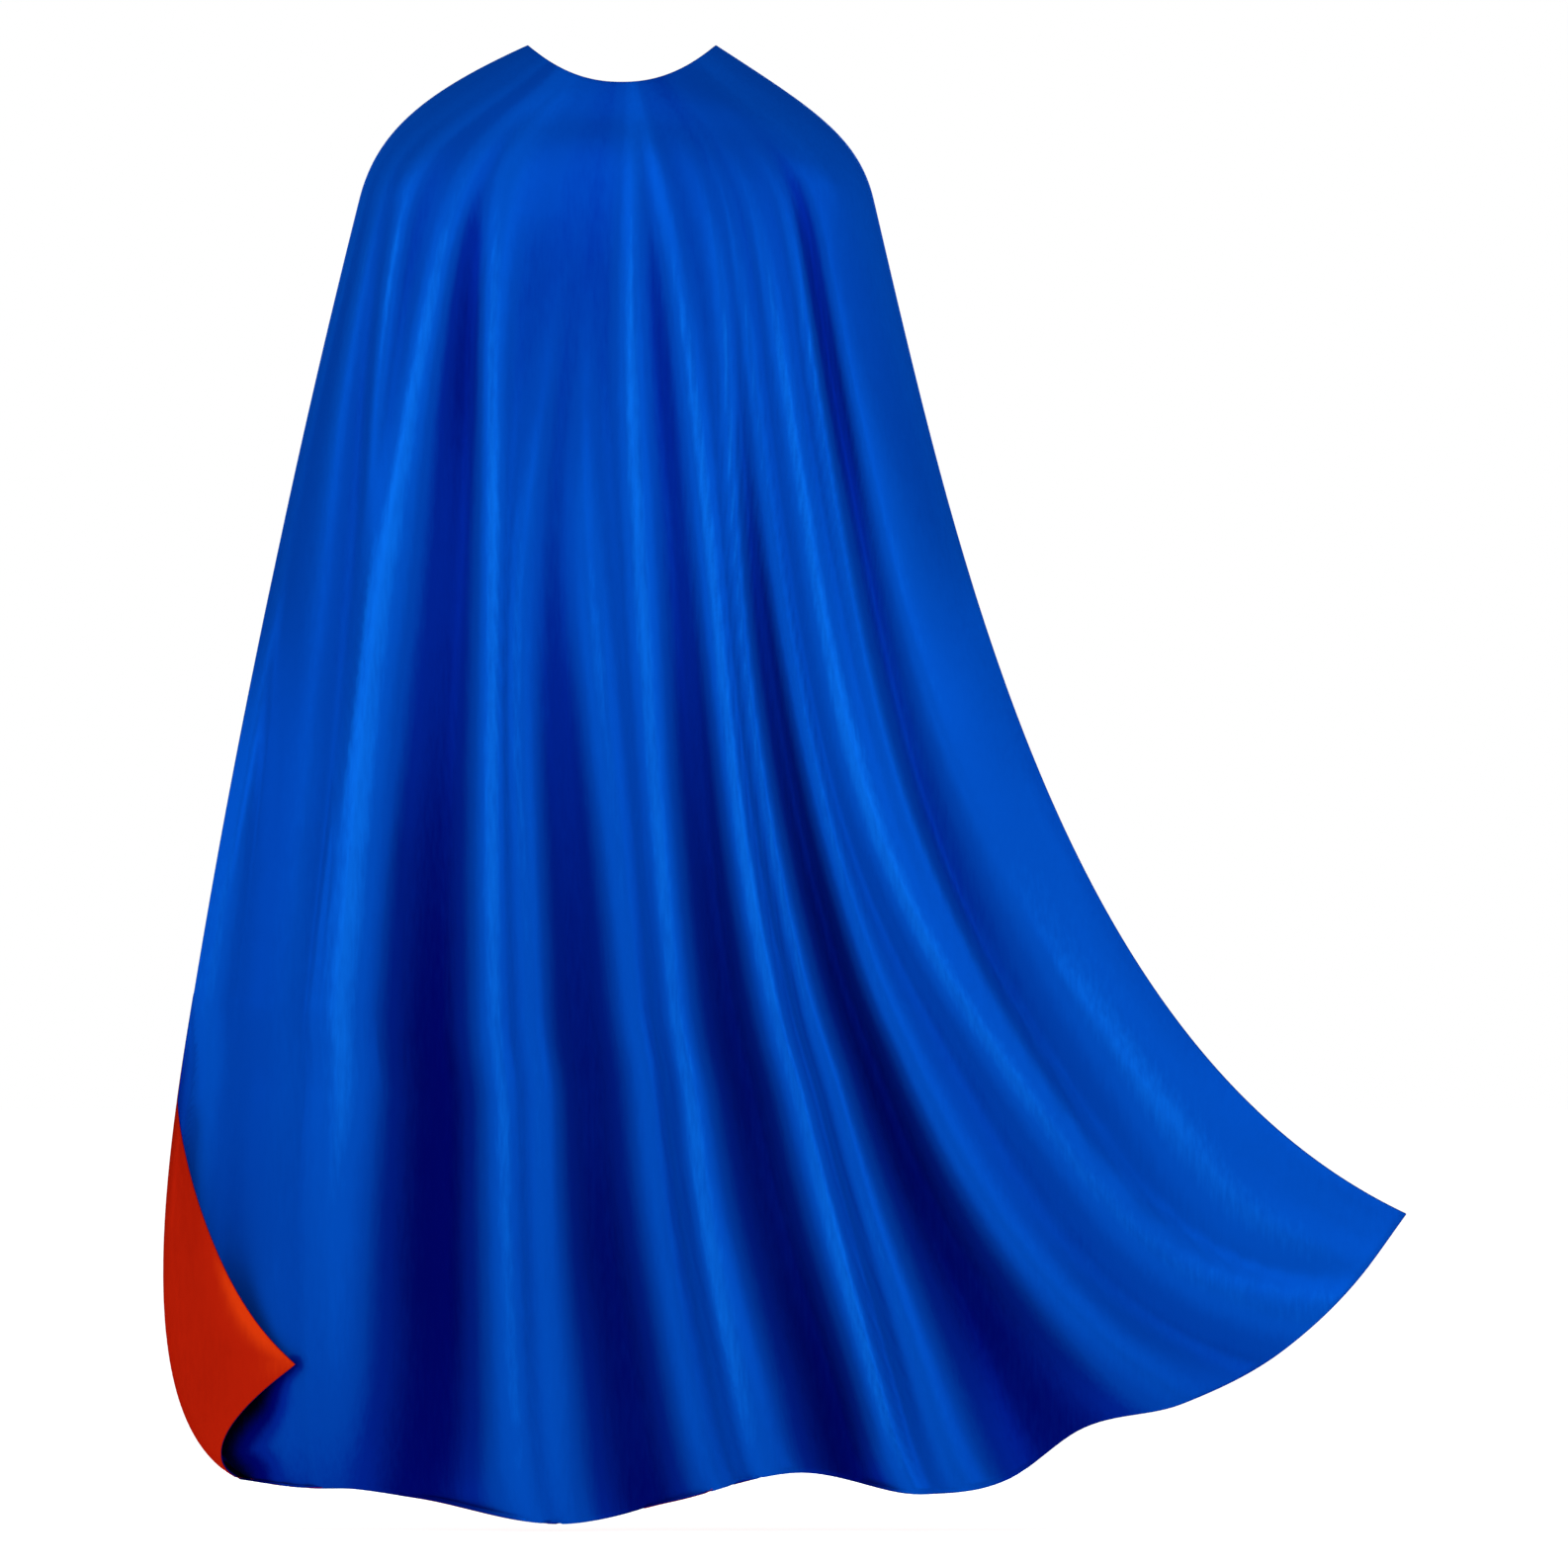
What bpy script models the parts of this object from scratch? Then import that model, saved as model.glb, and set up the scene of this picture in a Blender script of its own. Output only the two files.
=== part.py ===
"""A child's reversible satin cape in its worn shape, as a set of sewn pieces.

The cape stands as if on a wearer's shoulders: a neckline round the neck, a yoke over the shoulders, and a
skirt that fans out in folds, swings out to the right and turns its lower left corner back to show the lining.
Two neck straps meet at the front, where a tab with a hook pad holds on to a loop pad.

Frame: +Z up, the wearer faces +Y, so the blue outer side faces -Y. The origin is the centre of the flat label
at the nape. Lengths are millimetres here, and make_object turns them into metres.
"""

import math

import bpy
import numpy as np

METRES = 0.001

# Neckline: an ellipse round the neck, low at the nape, high at the two neck points, lowest at the front.
NECK_HALF_WIDTH = 44.7
NECK_HALF_DEPTH = 46.0
NECK_POINT_RISE = 17.8
NECK_POINT_POWER = 2.2
NECK_FRONT_DROP = 28.0
PANEL_NECK_ANGLE = math.radians(118)

# Shoulder ring: where the yoke ends and the skirt begins.
SHOULDER_Z = -55.0
SHOULDER_LEFT_X = -124.0
SHOULDER_RIGHT_X = 119.0
SHOULDER_BACK_Y = -24.0
SHOULDER_DEPTH = 62.0
SHOULDER_WRAP = math.radians(125)

# How steeply a yoke line leaves the neckline, and the reach of its curve's two ends, in shares of its span.
FALL_AT_SIDES = 0.65
FALL_MORE_AT_LEFT = -0.2
FALL_MORE_AT_BACK = 0.55
FALL_MORE_AT_FRONT = 0.5
YOKE_LEAVE = 0.52
YOKE_LEAVE_MORE_AT_BACK = -0.14
YOKE_ARRIVE = 0.3
SKIRT_START = 0.01

# Skirt outline seen from behind. The left side is a slight bow, the right side a curve that swings out.
LEFT_FLARE = 152.0
LEFT_BOW = 42.0
LEFT_HEM_Z = -661.5
RIGHT_HEM_Z = -536.0
RIGHT_EDGE = ((SHOULDER_RIGHT_X, SHOULDER_Z), (158, -221), (208, -459), (371, RIGHT_HEM_Z))
HEM_BACK_Y = -34.0
HEM_DEPTH = 34.0
CORNER_BILLOW = 26.0

# Where, from the shoulders (0) to the hem (1), the skirt stops wrapping round the wearer and settles.
WRAP_SETTLES_AT = 0.55
WIDTH_SETTLES_AT = 0.65
BACK_SETTLES_AT = 0.5
DEPTH_SETTLES_AT = 0.8
SAG_POWER = 1.5
WIDTH_SAMPLES = 181

# Hem heights along the way from the left fold (0) to the right corner (1).
HEM_AT = (0.0, 0.15, 0.285, 0.37, 0.477, 0.59, 0.66, 0.72, 0.81, 0.9, 0.96, 1.0)
HEM_Z = (LEFT_HEM_Z, -671.5, -682, -672, -658, -668, -661, -638, -625, -598, -566, RIGHT_HEM_Z)

# Folds: valleys and ridges take turns from the left edge to the right one. Each has its place across the
# skirt at the shoulders, the waist and the hem (0 is the left edge, 1 the right), and its depth at the hem.
FOLDS = (
    (0.000, 0.000, 0.000, 0.0),
    (0.100, 0.158, 0.060, 10.0),
    (0.235, 0.260, 0.185, 15.0),
    (0.285, 0.330, 0.265, 15.0),
    (0.400, 0.420, 0.355, 15.0),
    (0.525, 0.530, 0.440, 15.0),
    (0.570, 0.590, 0.530, 15.0),
    (0.620, 0.642, 0.585, 16.0),
    (0.705, 0.712, 0.690, 16.0),
    (0.780, 0.800, 0.800, 11.0),
    (0.862, 0.872, 0.890, 8.0),
    (0.900, 0.930, 0.960, 5.0),
    (1.000, 1.000, 1.000, 0.0),
)
FOLD_WAIST_AT = 0.4
FOLD_HEM_POWER = 8
FOLD_SHARE_AT_SHOULDER = 0.1
FOLD_GROWTH_POWER = 0.9
FOLD_FLATNESS = 0.12

# Turned corner: from TURN_START down, the left edge rolls over to the outer side along a bowed line. The roll
# reaches its first quarter turn at QUARTER_AT and gives it up again below QUARTER_UNTIL.
TURN_START = 0.62
TURN_LINE = ((-202, -429.5), (-215, -508), (-235, -635), (-181, LEFT_HEM_Z))
TURN_DIRECTION = (0.975, -0.222)
QUARTER_AT = 0.2
QUARTER_UNTIL = 0.93
TURN_TIP_AT = 0.62
TURN_REACH = 62.0
TURN_TIP_SHARE = 0.15
ROLL_TOP_RADIUS = 5.5
ROLL_HEM_RADIUS = 7.5
FLAP_LIFT = 7.0

# Layers: two satin panels with room between them for the seam thread and the interfacing.
SATIN = 0.8
LAYER_GAP = 1.4
FILLING = 0.7
CLEARANCE = 0.3
PANEL_OUTSIDE = LAYER_GAP / 2 + SATIN
SEAM_ALLOWANCE = 6.0
COLUMNS = 40
YOKE_ROWS = (0.0, 0.07, 0.22, 0.4, 0.6, 0.8)
SKIRT_ROWS = 8
TURN_ROWS = (0.1, 0.18, 0.24, 0.3, 0.4, 0.49, 0.56, TURN_TIP_AT, 0.7, 0.78, 0.86, 0.93, 0.97, 1.0)
ROLL_COLUMNS = 6
FLAP_COLUMNS = 11
MOST_SEAM_SHARE = 0.35
INTERFACING_INSET_COLUMNS = 3
INTERFACING_SHARES = (0.25, 0.5)

# Neck straps, closure tab and pads, as bands that hang from the neckline's ellipse.
STRAP_WIDTH = 24.0
STRAP_ROOT_LEAN = math.radians(45)
STRAP_FRONT_LEAN = math.radians(20)
STRAP_ROOT = math.radians(121)
STRAP_END = math.radians(179)
STRAP_SEAM_GAP = math.radians(1.2)
TAB_ROOT = math.radians(190)
TAB_TIP = math.radians(143)
TAB_MARGIN = 0.03
TAB_STEP_FROM = math.radians(186)
TAB_STEP = math.radians(8)
TAB_STITCH = (-math.radians(169.5), -math.radians(166.5))
TAB_STITCH_MARGIN = 0.1
PAD_NEAR = math.radians(176)
PAD_FAR = math.radians(147)
PAD_MARGIN = 0.12
PAD_STITCH_INSET = math.radians(2.5)
PAD_STITCH_MARGIN = 0.2
STRAP_STEPS = 12
TAB_STEPS = 14
PAD_STEPS = 7
LOOP_PAD = 1.2
HOOK_PAD = 1.0
THREAD = 0.4
SEAM_THREAD = 0.55

# Label at the nape: a flat piece that hangs down, and a short top that leans back to the neck seam.
LABEL_WIDTH = 18.0
LABEL_HEIGHT = 30.0
LABEL_TOP_RISE = 4.4
LABEL_TOP_LEAN = 1.6
LABEL_THICK = 0.5
LABEL_FACE = np.array((0.0, 2.5, -25.0))
LABEL_STITCH_REACH = 0.42

COLOURS = {
    "blue_satin": ((0.004, 0.085, 0.42), 0.36, 0.0),
    "red_satin": ((0.50, 0.022, 0.006), 0.38, 0.0),
    "blue_thread": ((0.003, 0.05, 0.30), 0.6, 0.0),
    "interfacing": ((0.75, 0.75, 0.72), 0.9, 0.0),
    "hook_and_loop": ((0.012, 0.012, 0.014), 0.85, 0.0),
    "label_satin": ((0.80, 0.80, 0.78), 0.45, 0.0),
}


def ease(x):
    """0 to 1 with flat ends."""
    x = np.clip(x, 0.0, 1.0)
    return x * x * (3 - 2 * x)


def mix(a, b, t):
    return a + (b - a) * t


def bezier(p0, p1, p2, p3, t):
    return (1 - t) ** 3 * p0 + 3 * t * (1 - t) ** 2 * p1 + 3 * t**2 * (1 - t) * p2 + t**3 * p3


def unit(vectors):
    return vectors / np.linalg.norm(vectors, axis=-1, keepdims=True)


def smooth_through(x, at, values):
    """A curve through the given points with matched slopes (cubic Hermite)."""
    at, values = np.array(at, float), np.array(values, float)
    slopes = np.gradient(values, at)
    i = np.clip(np.searchsorted(at, x, side="right") - 1, 0, len(at) - 2)
    step = at[i + 1] - at[i]
    t = (x - at[i]) / step
    start, end = values[i], values[i + 1]
    return (
        (1 + 2 * t) * (1 - t) ** 2 * start
        + t * (1 - t) ** 2 * step * slopes[i]
        + t**2 * (3 - 2 * t) * end
        + t**2 * (t - 1) * step * slopes[i + 1]
    )


def neckline(angle):
    """Points of the neckline. Angle 0 is the nape, 90 degrees the right neck point, 180 the front."""
    forward = np.minimum(np.cos(angle), 0)
    x = NECK_HALF_WIDTH * np.sin(angle)
    y = NECK_HALF_DEPTH * (1 - np.cos(angle))
    rise = NECK_POINT_RISE * np.abs(np.sin(angle)) ** NECK_POINT_POWER
    return np.stack((x, y, rise - NECK_FRONT_DROP * forward**2), axis=-1)


def roll_radius(p):
    return mix(ROLL_TOP_RADIUS, ROLL_HEM_RADIUS, p)


def flap_reach(p):
    """How far the turned corner shows inside its silhouette, at p from the top of the turn to the hem."""
    rising = max(p - QUARTER_AT, 0) / (TURN_TIP_AT - QUARTER_AT)
    falling = (1 - p) / (1 - TURN_TIP_AT)
    upper = mix(rising**1.4, rising**8, TURN_TIP_SHARE)
    return TURN_REACH * (upper if p <= TURN_TIP_AT else falling**1.8)


def flap_length(p):
    """Length of cloth past the start of the roll: a quarter turn, then what shows inside the silhouette."""
    reach, radius = flap_reach(p), roll_radius(p)
    share = ease(p / QUARTER_AT) * ease((1 - p) / (1 - QUARTER_UNTIL))
    second_quarter = math.acos(1 - min(reach / radius, 1))
    return radius * (share * math.pi / 2 + second_quarter) + max(reach - radius, 0)


def turn_line(p):
    """Where the roll starts on the body of the cape, as x and z."""
    silhouette = bezier(*np.array(TURN_LINE), p)
    radius = roll_radius(p)
    quarter = min(flap_length(p) / radius, math.pi / 2)
    return silhouette + radius * math.sin(quarter) * np.array(TURN_DIRECTION)


def left_edge(v):
    if v > TURN_START:
        return turn_line((v - TURN_START) / (1 - TURN_START))
    x = SHOULDER_LEFT_X - LEFT_FLARE * v + LEFT_BOW * v * v
    return np.array((x, mix(SHOULDER_Z, LEFT_HEM_Z, v)))


def right_edge(v):
    return bezier(*np.array(RIGHT_EDGE), v)


def fold_relief(across, v):
    """How far the folds stand out, from their place across the skirt (0 to 1) and down it (0 to 1)."""
    shoulder, waist, hem, depth = np.array(FOLDS).T
    places = mix(mix(shoulder, waist, ease(v / FOLD_WAIST_AT)), hem, v**FOLD_HEM_POWER)
    order = np.interp(across, places, np.arange(len(FOLDS)))
    wave = -np.cos(math.pi * order)
    flat_topped = wave + FOLD_FLATNESS * np.cos(3 * math.pi * order)
    size = np.interp(across, places, depth)
    return size * flat_topped * mix(FOLD_SHARE_AT_SHOULDER, 1.0, v**FOLD_GROWTH_POWER)


def skirt_row(tau, v):
    """One row of the skirt. tau runs from -1 at the left to 1 at the right, v from 0 at the shoulders to 1."""
    (left, left_z), (right, right_z) = left_edge(v), right_edge(v)
    wrap = mix(SHOULDER_WRAP, math.pi / 2, ease(v / WRAP_SETTLES_AT))
    flatness = ease(v / WIDTH_SETTLES_AT)
    every = np.linspace(-1, 1, WIDTH_SAMPLES)
    reach = np.max(mix(np.sin(every * wrap), every, flatness))
    sideways = mix(np.sin(tau * wrap), tau, flatness) / reach
    x = mix(left, right, (sideways + 1) / 2)
    across = np.clip((sideways + 1) / 2, 0, 1)
    straight_hem = mix(LEFT_HEM_Z, RIGHT_HEM_Z, across)
    sag = smooth_through(across, HEM_AT, HEM_Z) - straight_hem
    z = mix(left_z, right_z, across) + sag * v**SAG_POWER
    back = mix(SHOULDER_BACK_Y, HEM_BACK_Y, ease(v / BACK_SETTLES_AT))
    depth = mix(SHOULDER_DEPTH, HEM_DEPTH, ease(v / DEPTH_SETTLES_AT))
    y = back + depth * (1 - np.cos(tau * wrap))
    y = y - fold_relief(across, v) - CORNER_BILLOW * v**3 * across**3
    return np.stack((x, y, z), axis=-1)


def yoke_row(tau, k):
    """One row of the yoke, from k = 0 at the neckline to 1 at the shoulder ring."""
    angle = tau * PANEL_NECK_ANGLE
    top, ring = neckline(angle), skirt_row(tau, 0.0)
    towards_back = np.maximum(np.cos(angle), 0)
    towards_front = np.maximum(-np.cos(angle), 0)
    towards_left = np.maximum(-np.sin(angle), 0)
    fall = FALL_AT_SIDES + FALL_MORE_AT_LEFT * towards_left
    fall = fall + FALL_MORE_AT_BACK * towards_back**2 + FALL_MORE_AT_FRONT * towards_front
    leave = unit(np.stack((np.sin(angle), -np.cos(angle), -fall), axis=-1))
    arrive = unit(skirt_row(tau, SKIRT_START) - ring)
    span = np.linalg.norm(ring - top, axis=-1, keepdims=True)
    lead = (YOKE_LEAVE + YOKE_LEAVE_MORE_AT_BACK * towards_back**2)[:, None]
    return bezier(top, top + lead * span * leave, ring - YOKE_ARRIVE * span * arrive, ring, k)


def flap_row(corner, p, shares):
    """The turned corner's row that starts at the point corner, at shares of its length."""
    radius = roll_radius(p)
    along = flap_length(p) * shares
    turned = np.minimum(along / radius, math.pi)
    straight = np.maximum(along - math.pi * radius, 0)
    inwards = straight - radius * np.sin(turned)
    outwards = radius * (1 - np.cos(turned)) + FLAP_LIFT * (straight / TURN_REACH) ** 2
    dx, dz = TURN_DIRECTION
    return corner + np.stack((dx * inwards, -outwards, dz * inwards), axis=-1)


def flap_columns(p):
    """Places across the turned corner: several round the roll, fewer on the flat, one on the seam."""
    length = max(flap_length(p), 1.0)
    seam = 1 - min(SEAM_ALLOWANCE / length, MOST_SEAM_SHARE)
    roll = min(math.pi * roll_radius(p) / length, seam * ROLL_COLUMNS / (FLAP_COLUMNS - 1))
    round_it = np.linspace(0, roll, ROLL_COLUMNS + 1)[1:]
    flat = np.linspace(roll, seam, FLAP_COLUMNS - ROLL_COLUMNS)[1:]
    return np.concatenate((round_it, flat, [1.0]))


def panel_columns(half_width):
    """Column places from -1 to 1, the second and the last but one on the seam line."""
    inner = 1 - SEAM_ALLOWANCE / half_width
    return np.concatenate(([-1.0], np.linspace(-inner, inner, COLUMNS - 1), [1.0]))


def panel_grid():
    """The cape's middle surface: rows of body points, and the rows of the turned corner keyed by body row."""
    neck_half_length = NECK_HALF_WIDTH * PANEL_NECK_ANGLE
    body, flap = [], {}
    for k in YOKE_ROWS:
        columns = panel_columns(mix(neck_half_length, -SHOULDER_LEFT_X, k))
        body.append(yoke_row(columns, k))
    skirt = list(np.linspace(0, TURN_START, SKIRT_ROWS))
    skirt += [mix(TURN_START, 1.0, p) for p in TURN_ROWS]
    for v in skirt:
        half_width = (right_edge(v)[0] - left_edge(v)[0]) / 2
        body.append(skirt_row(panel_columns(half_width), v))
        if v > TURN_START:
            p = (v - TURN_START) / (1 - TURN_START)
            flap[len(body) - 1] = flap_row(body[-1][0], p, flap_columns(p))
    return np.array(body), flap


def panel_mesh(body, flap):
    """Points and quads of the middle surface, facing -Y."""
    rows, columns, _ = body.shape
    points = [tuple(p) for p in body.reshape(-1, 3)]
    quads = []

    def at(row, column):
        return row * columns + column

    for row in range(rows - 1):
        for column in range(columns - 1):
            low = at(row + 1, column), at(row + 1, column + 1)
            quads.append((*low, at(row, column + 1), at(row, column)))
    turn_top = min(flap) - 1
    above = [at(turn_top, 0)] * (FLAP_COLUMNS + 1)
    for row in range(turn_top + 1, rows):
        here = [at(row, 0)]
        if row < rows - 1:
            here += range(len(points), len(points) + FLAP_COLUMNS)
            points += [tuple(p) for p in flap[row]]
        else:
            here *= FLAP_COLUMNS + 1
        for column in range(FLAP_COLUMNS):
            ring = (here[column + 1], here[column], above[column], above[column + 1])
            quads.append(tuple(dict.fromkeys(ring)))
        above = here
    return points, [quad for quad in quads if len(quad) > 2]


def seam_path(body, flap):
    """The perimeter seam along the grid lines one step in from every edge of the cape."""
    last_row, last_column = body.shape[0] - 2, body.shape[1] - 2
    turn_rows = [row for row in sorted(flap) if row <= last_row][1:]
    path = [body[1, column] for column in range(1, last_column)]
    path += [body[row, last_column] for row in range(1, last_row)]
    path += [body[last_row, column] for column in range(last_column, -1, -1)]
    path += list(flap[last_row][:-1])
    path += [flap[row][-2] for row in reversed(turn_rows[1:-1])]
    path += list(flap[turn_rows[0]][-2::-1])
    path += [body[turn_rows[0], 0]]
    path += [body[row, 1] for row in range(turn_rows[0], 1, -1)]
    return np.array(path)


def band_point(angle, height, offset):
    """A point of the strap band: height 0 to 1 down from the neckline, offset outwards from its middle."""
    out = np.stack((np.sin(angle) / NECK_HALF_WIDTH, -np.cos(angle) / NECK_HALF_DEPTH, 0 * angle), axis=-1)
    out = unit(out)
    up = np.array((0.0, 0.0, 1.0))
    to_front = ease((math.pi - np.abs(math.pi - np.abs(angle)) - STRAP_ROOT) / (math.pi - STRAP_ROOT))
    lean = mix(STRAP_ROOT_LEAN, STRAP_FRONT_LEAN, to_front)[..., None]
    down = -up * np.cos(lean) + out * np.sin(lean)
    face = out * np.cos(lean) + up * np.sin(lean)
    height, offset = np.asarray(height)[..., None], np.asarray(offset)[..., None]
    return neckline(angle) + STRAP_WIDTH * height * down + offset * face


def tab_offset(angle, on_strap, over_pads):
    """The closure tab lies on the left strap at its root and steps out over the two pads."""
    return mix(on_strap, over_pads, ease((TAB_STEP_FROM - angle) / TAB_STEP))


def make_material(name):
    colour, roughness, metallic = COLOURS[name]
    material = bpy.data.materials.new(name)
    material.use_nodes = True
    shader = material.node_tree.nodes["Principled BSDF"]
    shader.inputs["Base Color"].default_value = (*colour, 1.0)
    shader.inputs["Roughness"].default_value = roughness
    shader.inputs["Metallic"].default_value = metallic
    return material


def make_object(name, points, faces, material, pivot=None):
    """A mesh object in metres, counted from the label's centre, with its origin on pivot."""
    pivot = LABEL_FACE if pivot is None else pivot
    mesh = bpy.data.meshes.new(name)
    mesh.from_pydata([tuple((np.array(p) - pivot) * METRES) for p in points], [], faces)
    mesh.update()
    mesh.materials.append(MATERIALS[material])
    obj = bpy.data.objects.new(name, mesh)
    obj.location = (pivot - LABEL_FACE) * METRES
    bpy.context.scene.collection.objects.link(obj)
    return obj


def add_thickness(obj, start, thickness):
    """Makes a sheet solid: it begins start away from the surface, and grows the way thickness points."""
    if start:
        shift = obj.modifiers.new("place_layer", "DISPLACE")
        shift.mid_level = 0.0
        shift.strength = start * METRES
    solid = obj.modifiers.new("cloth_thickness", "SOLIDIFY")
    solid.thickness = abs(thickness) * METRES
    solid.offset = float(np.sign(thickness)) if start else 0.0
    solid.use_even_offset = True
    solid.use_quality_normals = True


def sheet_from_grid(name, grid, material, thickness, pivot=None):
    """A solid sheet centred on a grid of points."""
    rows, columns, _ = grid.shape
    faces = []
    for row in range(rows - 1):
        for column in range(columns - 1):
            a, b = row * columns + column, (row + 1) * columns + column
            faces.append((b, b + 1, a + 1, a))
    obj = make_object(name, grid.reshape(-1, 3), faces, material, pivot)
    add_thickness(obj, 0.0, thickness)
    return obj


def thread_along(name, path, normals, size, material, closed, pivot=None):
    """A square thread along a path, standing square to the given surface normals."""
    path, normals = np.array(path), unit(np.array(normals))
    if closed:
        tangents = np.roll(path, -1, axis=0) - np.roll(path, 1, axis=0)
    else:
        tangents = np.gradient(path, axis=0)
    sides = unit(np.cross(unit(tangents), normals))
    points, faces, half, count = [], [], size / 2, len(path)
    for spot, normal, side in zip(path, normals, sides):
        for a, b in ((1, 1), (-1, 1), (-1, -1), (1, -1)):
            points.append(spot + half * (a * side + b * normal))
    for i in range(count if closed else count - 1):
        j = (i + 1) % count
        for corner in range(4):
            after = (corner + 1) % 4
            faces.append((4 * i + after, 4 * i + corner, 4 * j + corner, 4 * j + after))
    if not closed:
        last = 4 * (count - 1)
        faces += [(0, 1, 2, 3), (last + 3, last + 2, last + 1, last)]
    return make_object(name, points, faces, material, pivot)


def normals_at(mesh, path):
    """Vertex normals of a middle-surface mesh at points that are its own."""
    where = np.array([vertex.co for vertex in mesh.vertices]) / METRES + LABEL_FACE
    normals = np.array([vertex.normal for vertex in mesh.vertices])
    return [normals[np.argmin(np.linalg.norm(where - spot, axis=1))] for spot in path]


def build_cape(body, flap):
    """The two panels, what lies between them, and the label."""
    points, quads = panel_mesh(body, flap)
    outer = make_object("outer_panel", points, quads, "blue_satin")
    path = seam_path(body, flap)
    normals = normals_at(outer.data, path)
    add_thickness(outer, LAYER_GAP / 2, SATIN)
    lining = make_object("lining_panel", points, quads, "red_satin")
    add_thickness(lining, -LAYER_GAP / 2, -SATIN)
    thread_along("edge_seam_thread", path, normals, SEAM_THREAD, "blue_thread", closed=True)
    top_share, low_share = INTERFACING_SHARES
    strip = (mix(body[1], body[2], top_share), body[2], mix(body[2], body[3], low_share))
    inset = INTERFACING_INSET_COLUMNS
    sheet_from_grid("neck_interfacing", np.array(strip)[:, inset:-inset], "interfacing", FILLING)
    build_label()


def build_label():
    """A blank label with its flat face through the origin, and the thread across its leaning top."""
    half = LABEL_HEIGHT / 2
    front = ((0.0, -half), (0.0, half), (-LABEL_TOP_LEAN, half + LABEL_TOP_RISE))
    profile = [*front, *((y - LABEL_THICK, z) for y, z in reversed(front))]
    count = len(profile)
    points = [LABEL_FACE + (x, y, z) for x in (-LABEL_WIDTH / 2, LABEL_WIDTH / 2) for y, z in profile]
    sides = [(i, (i + 1) % count, (i + 1) % count + count, i + count) for i in range(count)]
    ends = [(0, 5, 4, 1), (1, 4, 3, 2), (6, 7, 10, 11), (7, 8, 9, 10)]
    make_object("care_label", points, sides + ends, "label_satin")
    across = np.linspace(-LABEL_STITCH_REACH, LABEL_STITCH_REACH, 7) * LABEL_WIDTH
    normal = unit(np.array((0.0, LABEL_TOP_RISE, LABEL_TOP_LEAN)))
    middle = LABEL_FACE + (0.0, -LABEL_TOP_LEAN / 2, half + LABEL_TOP_RISE / 2)
    path = [middle + (x, 0, 0) + (CLEARANCE + THREAD / 2) * normal for x in across]
    thread_along("label_stitch", path, [normal] * len(path), THREAD, "blue_thread", closed=False)


def band_grid(start, end, offset, steps, margin=0.0):
    """Grid points of a band from one angle to another. Offset is a number or a function of the angle."""
    angles = np.linspace(start, end, steps + 1)
    heights = np.linspace(margin, 1 - margin, 3)
    offsets = offset(angles) if callable(offset) else np.full(len(angles), offset)
    return np.array([band_point(angles, np.full(len(angles), h), offsets) for h in heights])


def band_ring(start, end, offset, margin, steps):
    """A closed path round a patch of a band, and the band's outward direction along it."""
    angles = np.linspace(start, end, steps + 1)
    there = [(angle, margin) for angle in angles]
    heights = np.linspace(margin, 1 - margin, 4)[1:-1]
    rising = [(end, h) for h in heights]
    back = [(angle, 1 - margin) for angle in angles[::-1]]
    falling = [(start, h) for h in heights[::-1]]
    places = np.array(there + rising + back + falling)
    path = band_point(places[:, 0], places[:, 1], np.full(len(places), offset))
    outer = band_point(places[:, 0], places[:, 1], np.full(len(places), offset + 1.0))
    return path, outer - path


def hinge_point(angle, offset=0.0):
    """The middle of the band's height at an angle, which is where a joint's axis passes."""
    return band_point(np.array(angle), np.array(0.5), np.array(offset))


def build_strap(body, side, sign):
    """One neck strap of two satin layers, and the thread beside its seam on the cape's front corner."""
    pivot = hinge_point(sign * STRAP_ROOT)
    for layer, material, level in (("outer", "blue_satin", 1), ("lining", "red_satin", -1)):
        offset = level * (LAYER_GAP + SATIN) / 2
        grid = band_grid(sign * (STRAP_ROOT + STRAP_SEAM_GAP), sign * STRAP_END, offset, STRAP_STEPS)
        grid = grid if sign < 0 else grid[:, ::-1]
        sheet_from_grid(f"{side}_strap_{layer}", grid, material, SATIN, pivot)
    edge, seam = (0, 1) if sign < 0 else (-1, -2)
    beside_edge = mix(body[:3, edge], body[:3, seam], 0.5)
    path = np.array((mix(beside_edge[0], beside_edge[1], 0.5), beside_edge[1], beside_edge[2]))
    normal = sign * unit(np.cross(path[2] - path[0], body[1, edge] - body[1, seam]))
    path = path + (PANEL_OUTSIDE + CLEARANCE + THREAD / 2) * normal
    thread_along(f"{side}_strap_stitch", path, [normal] * len(path), THREAD, "blue_thread", closed=False)


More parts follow.
